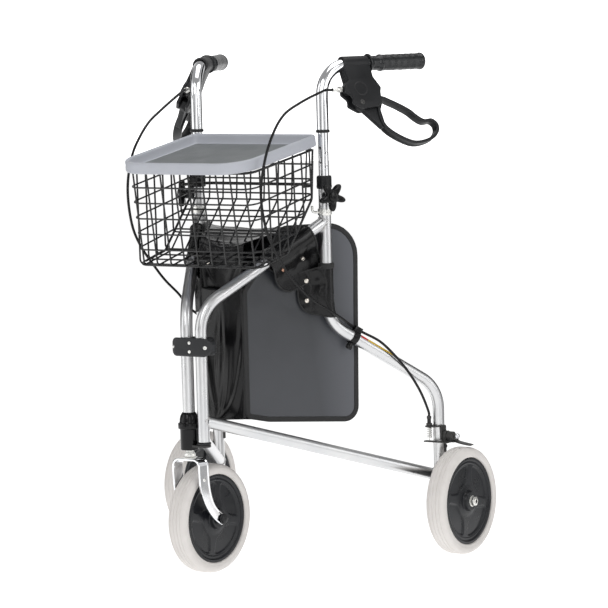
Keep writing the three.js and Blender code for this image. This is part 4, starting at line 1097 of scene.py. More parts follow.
def make_handle(side):
    who = word(side)
    body = f"{who}_handle"
    place = handle_matrix(side)
    foot = STOP_RING_Z + STOP_RING_H + 0.3
    slim = tube([(0, 0, INNER_FOOT), (0, 0, foot + 4)], INNER_R, INNER_BORE_R)
    full = tube([(0, 0, foot), (0, 0, HANDLE_Z), (0, HANDLE_END, HANDLE_Z)], TUBE_R, TUBE_BORE_R,
                HANDLE_BEND_R)
    piece(f"{who}_handle_tube_steel", slim.add(full).moved(place), CHROME, body,
          [f"{who}_handle_tube"])

    def round_hole(z, scale, lift):
        """A ring on the tube's round face, a little proud of it."""
        return [Vector((math.sqrt((INNER_R + lift) ** 2 - (a * scale) ** 2), a * scale, z + b * scale))
                for a, b in circle(3.1, 24)]

    # height holes: a dark disc painted as the shade inside each hole, with a turned-in rim, just proud
    # of the tube
    holes = Shape()
    rims = Shape()
    for z in (HOLE_FOOT + k * HOLE_PITCH for k in range(6)):
        holes.add(Shape(round_hole(z, 1, 0.06), [tuple(range(24))]))
        rims.add(loft([round_hole(z, *ring) for ring in ((1.0, 0.05), (1.08, 0.28), (1.25, 0.05))],
                      caps=False))
    piece(f"{who}_height_holes", holes.moved(place), GLOSS_BLACK, body)
    piece(f"{who}_hole_rims", rims.moved(place), CHROME, body)
    ring = lathe([(9.8, 0), (11.6, 0), (12.5, 0.5), (12.8, 1.4), (12.8, 4), (12.5, 4.9),
                  (11.6, STOP_RING_H), (9.8, STOP_RING_H)], 48, loop=True)
    piece(f"{who}_stop_ring_band", ring.moved(place @ Matrix.Translation((0, 0, STOP_RING_Z))),
          BLACK, body_of_node(f"{who}_stop_ring"), [f"{who}_stop_ring"])


def make_grip(side):
    """Rubber grip: flange, neck, and a body with finger ribs and fine lengthwise ribs."""
    who = word(side)
    place = handle_matrix(side) @ Matrix.Translation((0, 0, HANDLE_Z))
    start, rib_pitch, flute_pitch = 32, 13.6, 22
    stations = [(0, 11.4), (0, 16.2), (0.4, 17.2), (1.6, 17.9), (3, 17.6), (4.6, 16.4), (6.2, 14.6),
                (8, 13.7), (11, 13.5), (16, 13.6), (20, 13.6), (23, 14), (25.5, 15), (27.2, 15.8),
                (28.6, 16), (30, 15.7), (31.2, 15)]
    stations += [(s, 15.0 + 0.15 * math.cos((s - start) / rib_pitch * 2 * math.pi))
                 for s in np.linspace(start, 113.5, 96)]
    stations += [(115, 15.3), (117, 15.9), (119.5, 15.9), (121.4, 15.2), (122.8, 13.8),
                 (123.8, 11.6), (124.2, 8), (124.2, 4.5), (123.4, 4), (123.4, 0.01)]
    steps = 144
    rings = []
    for run, radius in stations:
        ring = []
        wave = 1 - math.cos((run - start) / flute_pitch * 2 * math.pi)
        for k in range(steps):
            angle = 2 * math.pi * k / steps
            r = radius
            if start + 1 < run < 113:
                r += 0.1 * math.cos(angle * 36)
                # flutes on the underside, where the fingers close round the grip
                r -= 0.35 * max(-math.sin(angle), 0) * wave / 2
            ring.append(Vector((r * math.cos(angle), GRIP_START + run, r * math.sin(angle))))
        rings.append(ring)
    piece(f"{who}_grip_rubber", loft(rings).moved(place), GRIP, body_of_node(f"{who}_grip"),
          [f"{who}_grip"], crease=60)


# ---------------------------------------------------------------- hand brakes

HOUSING_OUTLINE = [
    (43, 6, 3), (43, 36, 6), (33, 45, 6), (29, 58, 5), (41, 70, 8), (37, 82, 5), (57, 95, 9),
    (91, 92, 9), (101, 83, 8), (104, 64, 6), (108, 54, 4), (97, 32, 8), (98, 6, 3),
]
LEVER_TONGUE = [
    (48, 76), (62, 70), (90, 69), (106, 72), (104, 86), (98, 96), (99, 126), (92, 134), (60, 96),
    (50, 90),
]
LEVER_OUTER = [
    (104, 70), (128, 80), (146, 90), (162, 101), (173, 112), (185, 120), (203, 120), (213, 130),
    (212, 143), (202, 155), (184, 164), (152, 168), (126, 158), (99, 138), (90, 122), (90, 96),
    (95, 78),
]
BRAKE_PIVOT = (58, 82)
CABLE_DROP = -50  # height of the brake cable at the lever, from the grip


def rounded_plate(outline, low, high, lip):
    """A plate across the brake plane with rounded edges; outline is (along, below, radius)."""
    points = [Vector((a, -b)) for a, b in rounded(outline, 5)]
    rings = []
    for x, inset in ((low, lip), (low + lip * 0.3, lip * 0.3), (low + lip, 0), (high - lip, 0),
                     (high - lip * 0.3, lip * 0.3), (high, lip)):
        rings.append([Vector((x, *p)) for p in inset_outline(points, inset)])
    return loft(rings)


def make_brake(side):
    who, body = word(side), f"{word(side)}_handle"
    place = brake_matrix(side)
    along, below = BRAKE_PIVOT
    ahead = Matrix.Rotation(math.radians(-90), 4, "X")
    shape, pins = Shape(), Shape()
    for low, high in ((6.2, 12.4), (-12.4, -6.2)):
        shape.add(rounded_plate(HOUSING_OUTLINE, low, high, 1.6))
    web = [(43, 8, 3), (43, 34, 5), (36, 44, 4), (33, 56, 4), (43, 64, 6), (60, 46, 8), (96, 44, 4),
           (97, 8, 3)]
    shape.add(rounded_plate(web, -6.6, 6.6, 0.4))
    sleeve = [(11.4, 43), (13.4, 43), (14.3, 43.6), (14.6, 44.8), (14.6, 96.2), (14.3, 97.4),
              (13.4, 98), (11.4, 98)]
    shape.add(lathe(sleeve, 48, loop=True).moved(ahead))
    disc = lathe([(11.7, -0.5), (14.1, -0.5), (14.1, 0.3), (13.5, 0.75), (12.3, 0.75), (11.7, 0.3)],
                 64, loop=True)
    head = lathe([(0.01, 0), (4.6, 0), (4.6, 0.8), (3.6, 1.4), (0.01, 1.4)], 24)
    for end in (1, -1):
        turn = Matrix.Rotation(math.radians(90 * end), 4, "Y")
        shape.add(disc.moved(Matrix.Translation((12.3 * end, along + 5, 27 - below)) @ turn))
        pins.add(head.moved(Matrix.Translation((12.1 * end, along, -below)) @ turn))
    piece(f"{who}_brake_housing_body", shape.moved(place), BLACK, body,
          [f"{who}_brake_housing"])
    piece(f"{who}_brake_pivot_pin", pins.moved(place), POWDER, body)
    thread = [(3.6 + 0.35 * (k % 2), 17.4 + 0.35 * k) for k in range(1, 10)]
    barrel = lathe([(2.7, 9), (3.4, 9), (3.6, 9.4), (3.6, 17.2), *thread, (5, 21.4), (5, 28.6),
                    (4.6, 29), (2.7, 29)], 28, loop=True)
    barrel.add(lathe([(2.7, 22), (6, 22), (6, 24.6), (2.7, 24.6)], 6, loop=True))
    at = Matrix.Translation((0, 0, CABLE_DROP)) @ ahead
    piece(f"{who}_cable_barrel_steel", barrel.moved(place @ at), ZINC, body,
          [f"{who}_cable_barrel"])
    make_lever(who, place)


def make_lever(who, place):
    """Brake lever: a tongue into the housing, and a channelled loop round to the hand."""
    lever = rounded_plate([(a, b, 4) for a, b in LEVER_TONGUE], -5.4, 5.4, 1.4)
    outer = spline([(0, a, -b) for a, b in LEVER_OUTER], 8, loop=True)
    half, wide = 3.1, 8.4
    right = [(wide - 2.8, half - 0.9), (wide - 1.6, half), (wide - 0.6, half - 0.2),
             (wide, half - 1), (wide, -half + 1.1), (wide - 0.6, -half + 0.3), (wide - 1.8, -half)]
    left = [(-x, y) for x, y in reversed(right)]
    section = left[1:] + right + left[:1]
    rings = []
    for k, o in enumerate(outer):
        run = (outer[(k + 1) % len(outer)] - outer[k - 1]).normalized()
        out = Vector((0, -run.z, run.y))
        rings.append([o + Vector((x, 0, 0)) + out * (y - half) for x, y in section])
    lever.add(loft(rings, loop=True))
    piece(f"{who}_brake_lever_loop", lever.moved(place), BLACK, f"{who}_lever",
          [f"{who}_brake_lever"])


# ---------------------------------------------------------------- cables and rear brakes

LEFT_LOOP = [
    (163, 182, 871), (164, 119, 856), (163, 70, 838), (162, 40, 812), (161, 8, 760), (160, -6, 698),
    (161, 5, 639), (162, 22, 607), (163, 45, 577), (163, 74, 547), (166, 133, 502), (169, 193, 473),
    (170, 223, 459),
]
RIGHT_LOOP = [
    (163, 190, 864), (162, 137, 840), (160, 100, 822), (160, 71, 797), (160, 45, 764), (160, 28, 705),
    (160, 38, 636), (160, 61, 597), (162, 108, 552), (164, 141, 525), (167, 188, 494), (170, 223, 466),
]
CABLE_R = 2.45
CLIP_ALONG = 311
CLIP_LIFT = 17
SLOPE_ANGLE = math.atan2(SLOPE_FRONT_Z - SLOPE_REAR_Z, REAR_LEG - UPRIGHT)


def clip_pass(run):
    """Where the cable is beside its clip, a run down the sloping tube from it."""
    along = CLIP_ALONG + CLIP_LIFT * math.sin(SLOPE_ANGLE) + run * math.cos(SLOPE_ANGLE)
    up = slope_z(CLIP_ALONG) + CLIP_LIFT * math.cos(SLOPE_ANGLE) - run * math.sin(SLOPE_ANGLE)
    return (0, along, up)


def make_cable(side):
    who = word(side)
    head = [brake_matrix(side) @ Vector(p) for p in ((0, 8.7, CABLE_DROP), (0, -5, CABLE_DROP))]
    loop = LEFT_LOOP if side == LEFT else RIGHT_LOOP
    middle = [MODEL @ Vector((side * out, y, z)) for out, y, z in loop]
    low = [clip_pass(-12), clip_pass(0), clip_pass(12), (7, 362, 406), (14.5, 390, 377),
           (16.5, 416, 345), (13, 441, 308), (5, 459, 276), (0.4, BRAKE_PULL, 262),
           (0, BRAKE_PULL, 258.3)]
    tail = [side_matrix(side) @ Vector(p) for p in low]
    path = spline(head + middle + tail, 10)
    cable = piece(f"{who}_brake_cable_sheath", rod(path, CABLE_R * MM, 14), CABLE_BLACK, None,
                  [f"{who}_brake_cable"])
    frame_body(side)
    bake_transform(cable)
    refined(f"{who}_cable_clip", GLOSS_BLACK, 0.9, 3)
    nub = lathe([(0.01, -23.5), (4.6, -23.5), (6.4, -22), (6.8, -19), (6.2, -16), (5.4, -14.5),
                 (5.4, -11), (0.01, -11)], 28)
    lean = Matrix.Rotation(-SLOPE_ANGLE, 4, "X")
    at = Matrix.Translation((0, CLIP_ALONG, slope_z(CLIP_ALONG)))
    piece(f"{who}_clip_nub", nub.moved(side_matrix(side) @ at @ lean), GLOSS_BLACK,
          frame_body(side))


BRAKE_AXIS = (-4, 221)  # the rear brake's pivot, (back, up) from the foot of the rear leg


def half_band(inner, outer, low, high, start, end):
    """Part of a ring round the Z axis between two bearings, in degrees."""
    rings = []
    for a in np.linspace(math.radians(start), math.radians(end), 29):
        rings.append([Vector((r * math.cos(a), r * math.sin(a), z))
                      for r, z in ((inner, low), (outer, low), (outer, high), (inner, high))])
    return loft(rings)


def make_bracket(side):
    """Cable plate ahead of the leg, diagonal strap across it, and a strap behind it."""
    leg = leg_matrix(side)
    pull = leg.inverted() @ (side_matrix(side) @ Vector((0, BRAKE_PULL, 0)))
    plate = rounded([(pull.x - 8, pull.y - 7, 4), (pull.x + 8, pull.y - 7, 4), (14.5, -9, 3),
                     (14.5, 3, 2), (12, 3, 1), (12, -8, 1), (-12, -6, 2)], 4)
    strap = rounded([(-15, 241, 3), (-3, 241, 3), (6, 221, 5), (5, 210, 5), (-12, 210, 5)], 4)
    knuckle = rounded([(-12, 212, 4), (5, 212, 4), (5, 230, 4), (-12, 230, 4)], 4)
    shape = softened(prism(plate, 237.4, 240.2), 0.5)
    shape.add(softened(prism(strap, 12.2, 15, "X"), 0.6))
    shape.add(softened(half_band(11.5, 14, 188, 238, 8, 172), 0.5))
    shape.add(straight((15, *BRAKE_AXIS), (36.4, *BRAKE_AXIS), 3, 20))
    shape.add(softened(prism(knuckle, 14.6, 22, "X"), 0.9))
    shape.add(rivet((13.6, 4.6, 200), (1, 0.35, 0), 3, 1.4), rivet((0, 14, 196), (0, 1, 0), 3.2, 1.5))
    piece(f"{word(side)}_brake_bracket_plate", shape.moved(leg), POWDER, frame_body(side),
          [f"{word(side)}_brake_bracket"])


def make_arm(side):
    """Rocking arm: lever plate under the spring, pivot block, and a shoe that slopes outwards."""
    who = word(side)
    boss = lathe([(3.2, 22.6), (7.6, 22.6), (8.4, 23.4), (8.4, 34.6), (7.6, 35.4), (3.2, 35.4)], 36,
                 loop=True)
    shape = boss.moved(Matrix.Translation((0, *BRAKE_AXIS)) @ ONTO_X)
    shape.add(softened(block((-18, -26, 209.5), (26, -15.8, 212.3)), 0.9))
    front = [(-26, 209.5, 1), (2, 209.5, 2), (4, 222, 4), (-10, 226, 4), (-13, 213, 3),
             (-26, 212.5, 1)]
    shape.add(softened(prism(rounded(front, 4), 24, 34, "X"), 0.8))
    rings = []
    section = ((-1, 0), (-0.9, -0.9), (0, -1.1), (0.9, -0.9), (1, 0), (0.9, 0.9), (0, 1.1), (-0.9, 0.9))
    for x, rise, wide in ((24, 213.6, 7), (29, 211.4, 8.6), (34, 209.4, 9.4), (44, 207.4, 9.6),
                          (56, 205.6, 9.4), (62, 204.8, 8), (65, 204.4, 5)):
        rings.append([Vector((x, 12.5 + a * wide, rise + b - 1.6 * a ** 2)) for a, b in section])
    shape.add(loft(rings))
    shape.add(softened(block((24, -2, 208), (34, 16, 214)), 1.2))
    piece(f"{who}_brake_arm_plate", shape.moved(leg_matrix(side)), POWDER,
          body_of_node(f"{who}_brake_arm"), [f"{who}_brake_arm"])


def make_rear_brake(side):
    who, body = word(side), frame_body(side)
    make_bracket(side)
    make_arm(side)
    pull = side_matrix(side) @ Matrix.Translation((0, BRAKE_PULL, 0))
    coil = spring(217.3, 237, 4.2, 0.75, 6.5)
    piece(f"{who}_brake_spring_coil", coil.moved(pull), ZINC, body,
          [f"{who}_brake_spring"])
    ferrule = lathe([(0.01, 240.8), (5.5, 240.8), (5.5, 244.4), (3.6, 245.2), (3.6, 252.4), (4.4, 253),
                     (4.5, 257.4), (4, 258), (0.01, 258)], 32)
    ferrule.add(hexagon(5.9, 241, 244.6))
    piece(f"{who}_brake_adjuster_nut", ferrule.moved(pull), POWDER, body,
          [f"{who}_brake_adjuster"])
    # nut and washer on the brake's pivot, and the inner wire down through the spring
    nut = hexagon(5.4, 0, 4.2)
    nut.add(lathe([(0.01, 4), (3, 4), (3, 5.2), (2.4, 5.6), (0.01, 5.6)], 20))
    at = leg_matrix(side) @ Matrix.Translation((41.3, *BRAKE_AXIS)) @ ONTO_X
    piece(f"{who}_brake_pivot_nut", nut.moved(at), CHROME, body)
    wire = straight((0, 0, 213), (0, 0, 241), 0.8, 10)
    piece(f"{who}_brake_inner_wire", wire.moved(pull), ZINC, body)


# ---------------------------------------------------------------- basket and tray

BASKET_HALF = 137.5
RIM_FRONT, RIM_BACK = (-6, 736), (197.5, 768.5)
FRONT_TOP = Vector(RIM_FRONT)
FRONT_FOOT = Vector((22, 564))
BASKET_BACK = [Vector(RIM_BACK), Vector((190.5, 677)), Vector((107, 584)), Vector((22, 564))]
BASKET_CORNER = 22
WIRE_R = 1.65


def meet_back(point, direction):
    """Where a level line from the basket's front meets its back, in (y, z)."""
    best = None
    for a, b in zip(BASKET_BACK, BASKET_BACK[1:]):
        run = b - a
        cross = direction.x * run.y - direction.y * run.x
        if abs(cross) < 1e-9:
            continue
        gap = a - point
        t = (gap.x * run.y - gap.y * run.x) / cross
        u = (gap.x * direction.y - gap.y * direction.x) / cross
        if t > 1 and -0.01 <= u <= 1.01 and (best is None or t > best):
            best = t
    return point + direction * best


def level_loop(share):
    """A closed wire round the basket, share of the way from its rim to its floor."""
    front = FRONT_TOP.lerp(FRONT_FOOT, share)
    angle = math.radians(8.9 + 5.1 * share)
    back = meet_back(front, Vector((math.cos(angle), math.sin(angle))))
    deep = (back - front).length
    outline = rounded([(-BASKET_HALF, 0, BASKET_CORNER), (BASKET_HALF, 0, BASKET_CORNER),
                       (BASKET_HALF, deep, 9), (-BASKET_HALF, deep, 9)], 9)
    return [Vector((x, *(front + (back - front) * (run / deep)))) for x, run in outline]


def corner_set_back(x):
    return set_back(BASKET_CORNER, abs(x) - (BASKET_HALF - BASKET_CORNER))


def floor_z(y):
    """Height of the basket's floor and sloping back at a depth."""
    points = BASKET_BACK[::-1]
    for (y0, z0), (y1, z1) in zip(points, points[1:]):
        if y <= y1:
            return z0 + (z1 - z0) * max(y - y0, 0) / (y1 - y0)
    return points[-1].y


def rim_z(y):
    """Height of the basket's sloping rim at a depth."""
    (y0, z0), (y1, z1) = RIM_FRONT, RIM_BACK
    return z0 + (y - y0) * (z1 - z0) / (y1 - y0)


def make_basket():
    shape = Shape()
    for k in range(1, 7):
        shape.add(rod(level_loop(k / 6), WIRE_R, 8, loop=True))
    shape.add(rod(level_loop(0), 2.3, 12, loop=True))
    # wires from the rim down the front, under the floor and up the back
    for x in np.arange(-123.2, 124, 30.8):
        inset = corner_set_back(x)
        start = FRONT_TOP + Vector((inset, inset * 0.157))
        foot = FRONT_FOOT + Vector((inset * 0.8, inset * 0.8 * 0.22))
        corners = [start, foot, *reversed(BASKET_BACK[:3])]
        shape.add(rod(bent([(x, *p) for p in corners], 7, 5), WIRE_R, 8))
    # wires from one side of the rim, under the floor, to the other
    half, lean = BASKET_HALF + 0.2, 3
    for y in np.arange(30, 190, 26.5):
        rim, floor = rim_z(y), floor_z(y)
        path = bent([(half, y - lean - 0.02 * (rim - floor), rim), (half, y, floor),
                     (-half, y, floor), (-half, y - lean, rim)], 8, 5)
        shape.add(rod(path, WIRE_R, 8))
    # heavier rods down the sides of the back, and the hanging rail
    foot = BASKET_BACK[2].lerp(BASKET_BACK[3], 0.72)
    for x in (BASKET_HALF - 1, 1 - BASKET_HALF):
        shape.add(rod(bent([(x, *p) for p in (*BASKET_BACK[:3], foot)], 12, 6), 2.2, 10))
    rail = bent([(135.5, 166, 702), (135.5, 221, 702), (-135.5, 221, 702), (-135.5, 166, 702)], 40, 14)
    shape.add(rod(rail, 2.9, 14))
    piece("basket_wires", shape.moved(MODEL), WIRE, "basket", ["basket"])


def make_tray():
    half, deep, front_corner, back_corner = 141, 260, 60, 18

    def rings(levels):
        made = []
        for inset, z in levels:
            x, front, back = half - inset, -deep + inset, -inset
            wide, tight = front_corner - inset, max(back_corner - inset, 5)
            outline = rounded([(-x, front, wide), (x, front, wide), (x, back, tight),
                               (-x, back, tight)], 14)
            made.append([Vector((a, b, z)) for a, b in outline])
        return made

    lip_and_walls = [(6, -19), (3, -21), (1.2, -20.6), (0.2, -19.4), (0, -18), (0.1, -5), (0.3, -3),
                     (1.1, -1.1), (2.6, -0.2), (4.4, 0), (6.4, -0.3), (7.8, -1.2), (8.8, -3),
                     (9.6, -6), (12.4, -14.6), (13.6, -16.4), (15.8, -17.3), (19, -17.5)]
    at = MODEL @ Matrix.Translation((0, 212.7, 795.6)) @ Matrix.Rotation(math.radians(9), 4, "X")
    piece("tray_moulding", loft(rings(lip_and_walls)).moved(at), TRAY, "tray",
          ["tray"], crease=50)
    floor = loft(rings(((14.6, -17.4), (14.8, -17.0), (15.4, -16.9))))
    # the pocket's floor is painted darker, as the shade in the sunken pocket
    piece("tray_pocket_floor", floor.moved(at), TRAY_FLOOR_SHADE, "tray")


# ---------------------------------------------------------------- bag

PANEL_MID = -16.5
PANEL_CORNERS = [
    (93, 282, 14), (140, 272, 30), (325, 258, 27), (332, 629, 62), (178, 629, 14), (93, 515, 14),
]


def even_loop(points, count):
    """The closed outline again, with evenly spaced points."""
    return even_run(points + [points[0]], count)[:-1]


def even_run(points, count):
    """count spans of equal length along an open line."""
    lengths = run_lengths(points)
    made, k = [], 0
    for n in range(count + 1):
        want = lengths[-1] * n / count
        while k < len(points) - 2 and lengths[k + 1] < want:
            k += 1
        share = min((want - lengths[k]) / max(lengths[k + 1] - lengths[k], 1e-9), 1)
        made.append(points[k].lerp(points[k + 1], share))
    return made


def wrinkle(point, scale, seed=0.0):
    return noise.noise(Vector((point.x / scale + seed, point.y / scale, point.z / scale)))


def panel_bulge(p):
    """How far the side panel stands out of its plane; its binding keeps its edge flat."""
    place = Vector((0, p.x, p.y))
    return 3.4 * wrinkle(place, 150, 3.1) + 0.5 * wrinkle(place, 45, 9.4)


def make_panel(side):
    who, body = word(side), frame_body(side)
    place = side_matrix(side)
    edge = even_loop([Vector(p) for p in rounded(PANEL_CORNERS, 8)], 220)
    centre = Vector((215, 440))
    rings = []
    shares = [1, 0.975, 0.95, 0.92, 0.88, 0.82, 0.74, 0.64, 0.52, 0.4, 0.28, 0.16, 0.06]
    for face in (1, -1):
        for share in shares[::-face]:
            ring = []
            for p in edge:
                q = centre + (p - centre) * share
                swell = panel_bulge(q) * smooth_step((1 - share) / 0.14)
                ring.append(Vector((PANEL_MID + face * 1.1 + swell, *q)))
            rings.append(ring)
    piece(f"{who}_bag_side", loft(rings).moved(place), GREY_VINYL, body,
          [f"{who}_bag_panel"], crease=60)

    outer = [(2.4, 8.6), (2.55, 7), (2.5, 3), (2.2, 0.6), (1.3, -0.5)]
    section = [*outer, (0, -0.8), *[(-x, run) for x, run in reversed(outer)], (-1.6, 9), (1.6, 9)]
    insets = {run: inset_outline(edge, run) for _, run in section}
    rings = []
    for k in range(len(edge)):
        pucker = 1 + 0.05 * math.sin(k * 1.9) * math.sin(k * 0.37)
        rings.append([Vector((PANEL_MID + x * pucker, *insets[run][k])) for x, run in section])
    piece(f"{who}_bag_binding", loft(rings, loop=True).moved(place), TAPE, body,
          crease=50)

    seam = even_loop(inset_outline(edge, 7), 250)
    half_stitch, sunk, proud = 1.6, 2.3, 2.72
    stitches = Shape()
    for k, p in enumerate(seam):
        run = (seam[(k + 1) % len(seam)] - seam[k - 1]).normalized()
        for face in (1, -1):
            path = [Vector((PANEL_MID + face * out, *(p + run * half_stitch * share)))
                    for share, out in ((-1, sunk), (-0.6, proud), (0.6, proud), (1, sunk))]
            stitches.add(rod(path, 0.36, 6))
    piece(f"{who}_bag_stitching", stitches.moved(place), THREAD, body)


def strap_rows(line, columns, ends, lift, placed):
    """Points over a strap whose cross line is line, and each row's outward normal.

    ends(length, run) gives where a row starts and stops, lift(s, length, run) how far it stands
    off the line at s, and placed(point, s, run) the point in space; length is how far along the
    line the row lies, and run how much of the line is left."""
    lengths = run_lengths(line)
    rows, normals = [], []
    for k, (p, length) in enumerate(zip(line, lengths)):
        run = lengths[-1] - length
        ahead = line[min(k + 1, len(line) - 1)] - line[max(k - 1, 0)]
        normal = Vector((-ahead.y, ahead.x)).normalized()
        low, high = ends(length, run)
        row = []
        for c in range(columns + 1):
            s = low + (high - low) * c / columns
            row.append(placed(p + normal * lift(s, length, run), s, run))
        rows.append(row)
        normals.append(normal)
    return rows, normals


def make_strap(side, label, rows, normals, place, thick, cord):
    """A vinyl strap from its outer rows, bound along its two edges and its loose end."""
    rings = [row + [v - normal * thick for v in reversed(row)] for row, normal in zip(rows, normals)]
    piece(f"{word(side)}_bag_{label}", loft(rings).moved(place), VINYL, frame_body(side),
          crease=60, subdivide=1)
    edge = [*[row[0] for row in rows], *rows[-1][1:-1], *reversed([row[-1] for row in rows])]
    piece(f"{word(side)}_{label}_binding", rod(edge, cord, 8).moved(place), TAPE, frame_body(side))


def make_stud(side, label, radius, look, place, spot, out):
    at = place @ (Matrix.Translation(spot + out * 0.6) @ facing(out))
    piece(f"{word(side)}_{label}", stud(radius).moved(at), look, frame_body(side))


def make_saddle(side):
    """Vinyl flap thrown over the diagonal tube and fastened with studs on both sides."""
    climb = math.atan2(DIAGONAL_REAR_Z - DIAGONAL_FRONT_Z, UPRIGHT)
    middle = 188
    at_tube = Matrix.Translation((0, middle, diagonal_z(middle))) @ Matrix.Rotation(climb, 4, "X")
    place = side_matrix(side) @ at_tube
    over, corner = TUBE_R + 2.2, 32
    # cross line in (out, up): from the inner panel, over the tube, down outside and back in
    line = [(-14, -38), (-13.6, -20), (-13.2, -6)]
    line += [(over * math.cos(a), over * math.sin(a)) for a in np.linspace(math.pi * 0.97, 0.03, 16)]
    line += [(over, -7), (over - 3, -16), (over - 9, -25), (over - 16, -33), (over - 21.5, -41),
             (over - 24, -50), (over - 24.6, -60), (over - 24.6, -80)]

    def ends(length, run):
        trim = set_back(corner, corner - min(length, run))
        return -58 + trim, 42 - trim

    def folds(s, length, run):
        share = length / (length + run)
        drop = max(share - 0.45, 0) / 0.55 * (1.2 - share)
        crumple = wrinkle(Vector((s, share * 60, 0)), 17, 1.7)
        return drop * 1.6 * abs(2.2 * math.sin(s / 10.5 + share * 5) + 1.8 * crumple)

    rows, normals = strap_rows(spline(line, 4), 26, ends, folds,
                               lambda p, s, run: Vector((p.x, s, p.y)))
    normals = [Vector((n.x, 0, n.y)) for n in normals]
    make_strap(side, "saddle", rows, normals, place, 1.5, 1.7)
    return rows, normals, place


def bend_shift(z):
    """How far back the upright's axis has gone at a height inside its lower bend."""
    start = SLOPE_FRONT_Z + BEND_R * math.tan((math.pi / 2 - SLOPE_ANGLE) / 2)
    drop = min(max(start - z, 0), BEND_R * 0.95)
    return BEND_R - math.sqrt(BEND_R ** 2 - drop ** 2)


def make_sleeve(side):
    """Vinyl tab from the panel round the foot of the upright and back on to the panel."""
    who, body = word(side), frame_body(side)
    place = side_matrix(side) @ Matrix.Translation((0, UPRIGHT, 0))
    radius, corner = TUBE_R + 1.6, 34
    # cross line in (out, along): panel, round the back of the tube, its outer side, panel
    line = [(-13.4, 19), (-11, 14.5)]
    line += [(radius * math.cos(a), radius * math.sin(a))
             for a in np.linspace(math.radians(112), math.radians(-52), 15)]
    line += [(3.5, -15.5), (-2.5, -21), (-7.6, -27), (-10.6, -33), (-12.2, -40), (-12.8, -47),
             (-13, -53)]

    def ends(length, run):
        trim = set_back(corner, corner - run)
        return (459 + trim + 5 * smooth_step((length - 40) / 30),
                553 - 0.35 * trim - 6 * smooth_step((length - 45) / 30))

    def folds(z, length, run):
        free = smooth_step((length - 38) / 12) * smooth_step(run / 12)
        crumple = wrinkle(Vector((length, z, 0)), 15, 4)
        return max(free * (1.8 * abs(math.sin(z / 15)) + 1.6 * crumple), 0)

    def placed(p, z, run):
        return Vector((p.x, p.y + bend_shift(z) * smooth_step((run - 12) / 34), z))

    line = spline(line, 4)
    rows, normals = strap_rows(line, 40, ends, folds, placed)
    normals = [Vector((*n, 0)) for n in normals]
    make_strap(side, "sleeve", rows, normals, place, 1.3, 1.6)
    band = lathe([(radius - 0.6, 548), (radius + 1.7, 548), (radius + 2.3, 548.8),
                  (radius + 2.3, 557.2), (radius + 1.7, 558), (radius - 0.6, 558)], 56, loop=True)
    piece(f"{who}_sleeve_band", band.moved(place), TAPE, body)
    lengths = run_lengths(line)
    k = min(range(len(line)), key=lambda n: abs(lengths[n] - (lengths[-1] - 17)))
    for label, z in (("upper", 526), ("lower", 489)):
        spot = min(rows[k], key=lambda v: abs(v.z - z))
        make_stud(side, f"sleeve_stud_{label}", 4.2, NICKEL, place, spot, normals[k])


def cross_sheet(name, rows, columns, line, ripple, look=VINYL):
    """Cloth between the two side panels; line(v) gives (along, up), ripple adds folds."""
    grid = []
    for r in range(rows + 1):
        v = r / rows
        a, b = [side_matrix(side) @ Vector((PANEL_MID, *line(v))) for side in (RIGHT, LEFT)]
        for c in range(columns + 1):
            u = c / columns
            grid.append(a.lerp(b, u) + Vector(ripple(u, v)) * MM)
    faces = []
    for r in range(rows):
        for c in range(columns):
            k = r * (columns + 1) + c
            faces.append((k, k + 1, k + columns + 2, k + columns + 1))
    obj = piece(name, Shape(grid, faces), look, None, crease=180)
    solid = obj.modifiers.new("Solidify", "SOLIDIFY")
    solid.thickness = 1.2 * MM
    solid.offset = 0
    return obj


def sewn_edges(rows, columns, top=False):
    """Numbers of a cloth's vertices along its two sides and its foot, and its top too if told."""
    numbers = [r * (columns + 1) + c for r in range(rows + 1) for c in (0, columns)]
    for r in (0, rows) if top else (rows,):
        numbers += range(r * (columns + 1), (r + 1) * (columns + 1))
    return numbers


def hang(cloth, reach, flat, held, **cut):
    """Bakes the cloth's placement into its mesh."""
    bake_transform(cloth)


def settle(obj, pinned, frames, gravity=1.0):
    """Cloth falls from its made shape with some vertices held, then keeps the result."""
    group = obj.vertex_groups.new(name="held")
    group.add(pinned, 1, "REPLACE")
    modifier = obj.modifiers.new("Cloth", "CLOTH")
    settings = modifier.settings
    settings.vertex_group_mass = "held"
    settings.quality = 8
    settings.mass = 0.35
    settings.tension_stiffness = 32
    settings.compression_stiffness = 32
    settings.shear_stiffness = 8
    settings.bending_stiffness = 0.6
    settings.effector_weights.gravity = gravity
    modifier.collision_settings.use_collision = False
    modifier.collision_settings.use_self_collision = False
    modifier.point_cache.frame_end = frames
    solid = obj.modifiers.get("Solidify")
    shown = solid.show_viewport
    solid.show_viewport = False
    scene = bpy.context.scene
    for number in range(1, frames + 1):
        scene.frame_set(number)
    shaped = obj.evaluated_get(bpy.context.evaluated_depsgraph_get())
    coords = [shaped.matrix_world @ v.co for v in shaped.data.vertices]
    obj.modifiers.remove(modifier)
    for vertex, co in zip(obj.data.vertices, coords):
        vertex.co = co
    obj.vertex_groups.clear()
    solid.show_viewport = shown
    scene.frame_set(1)


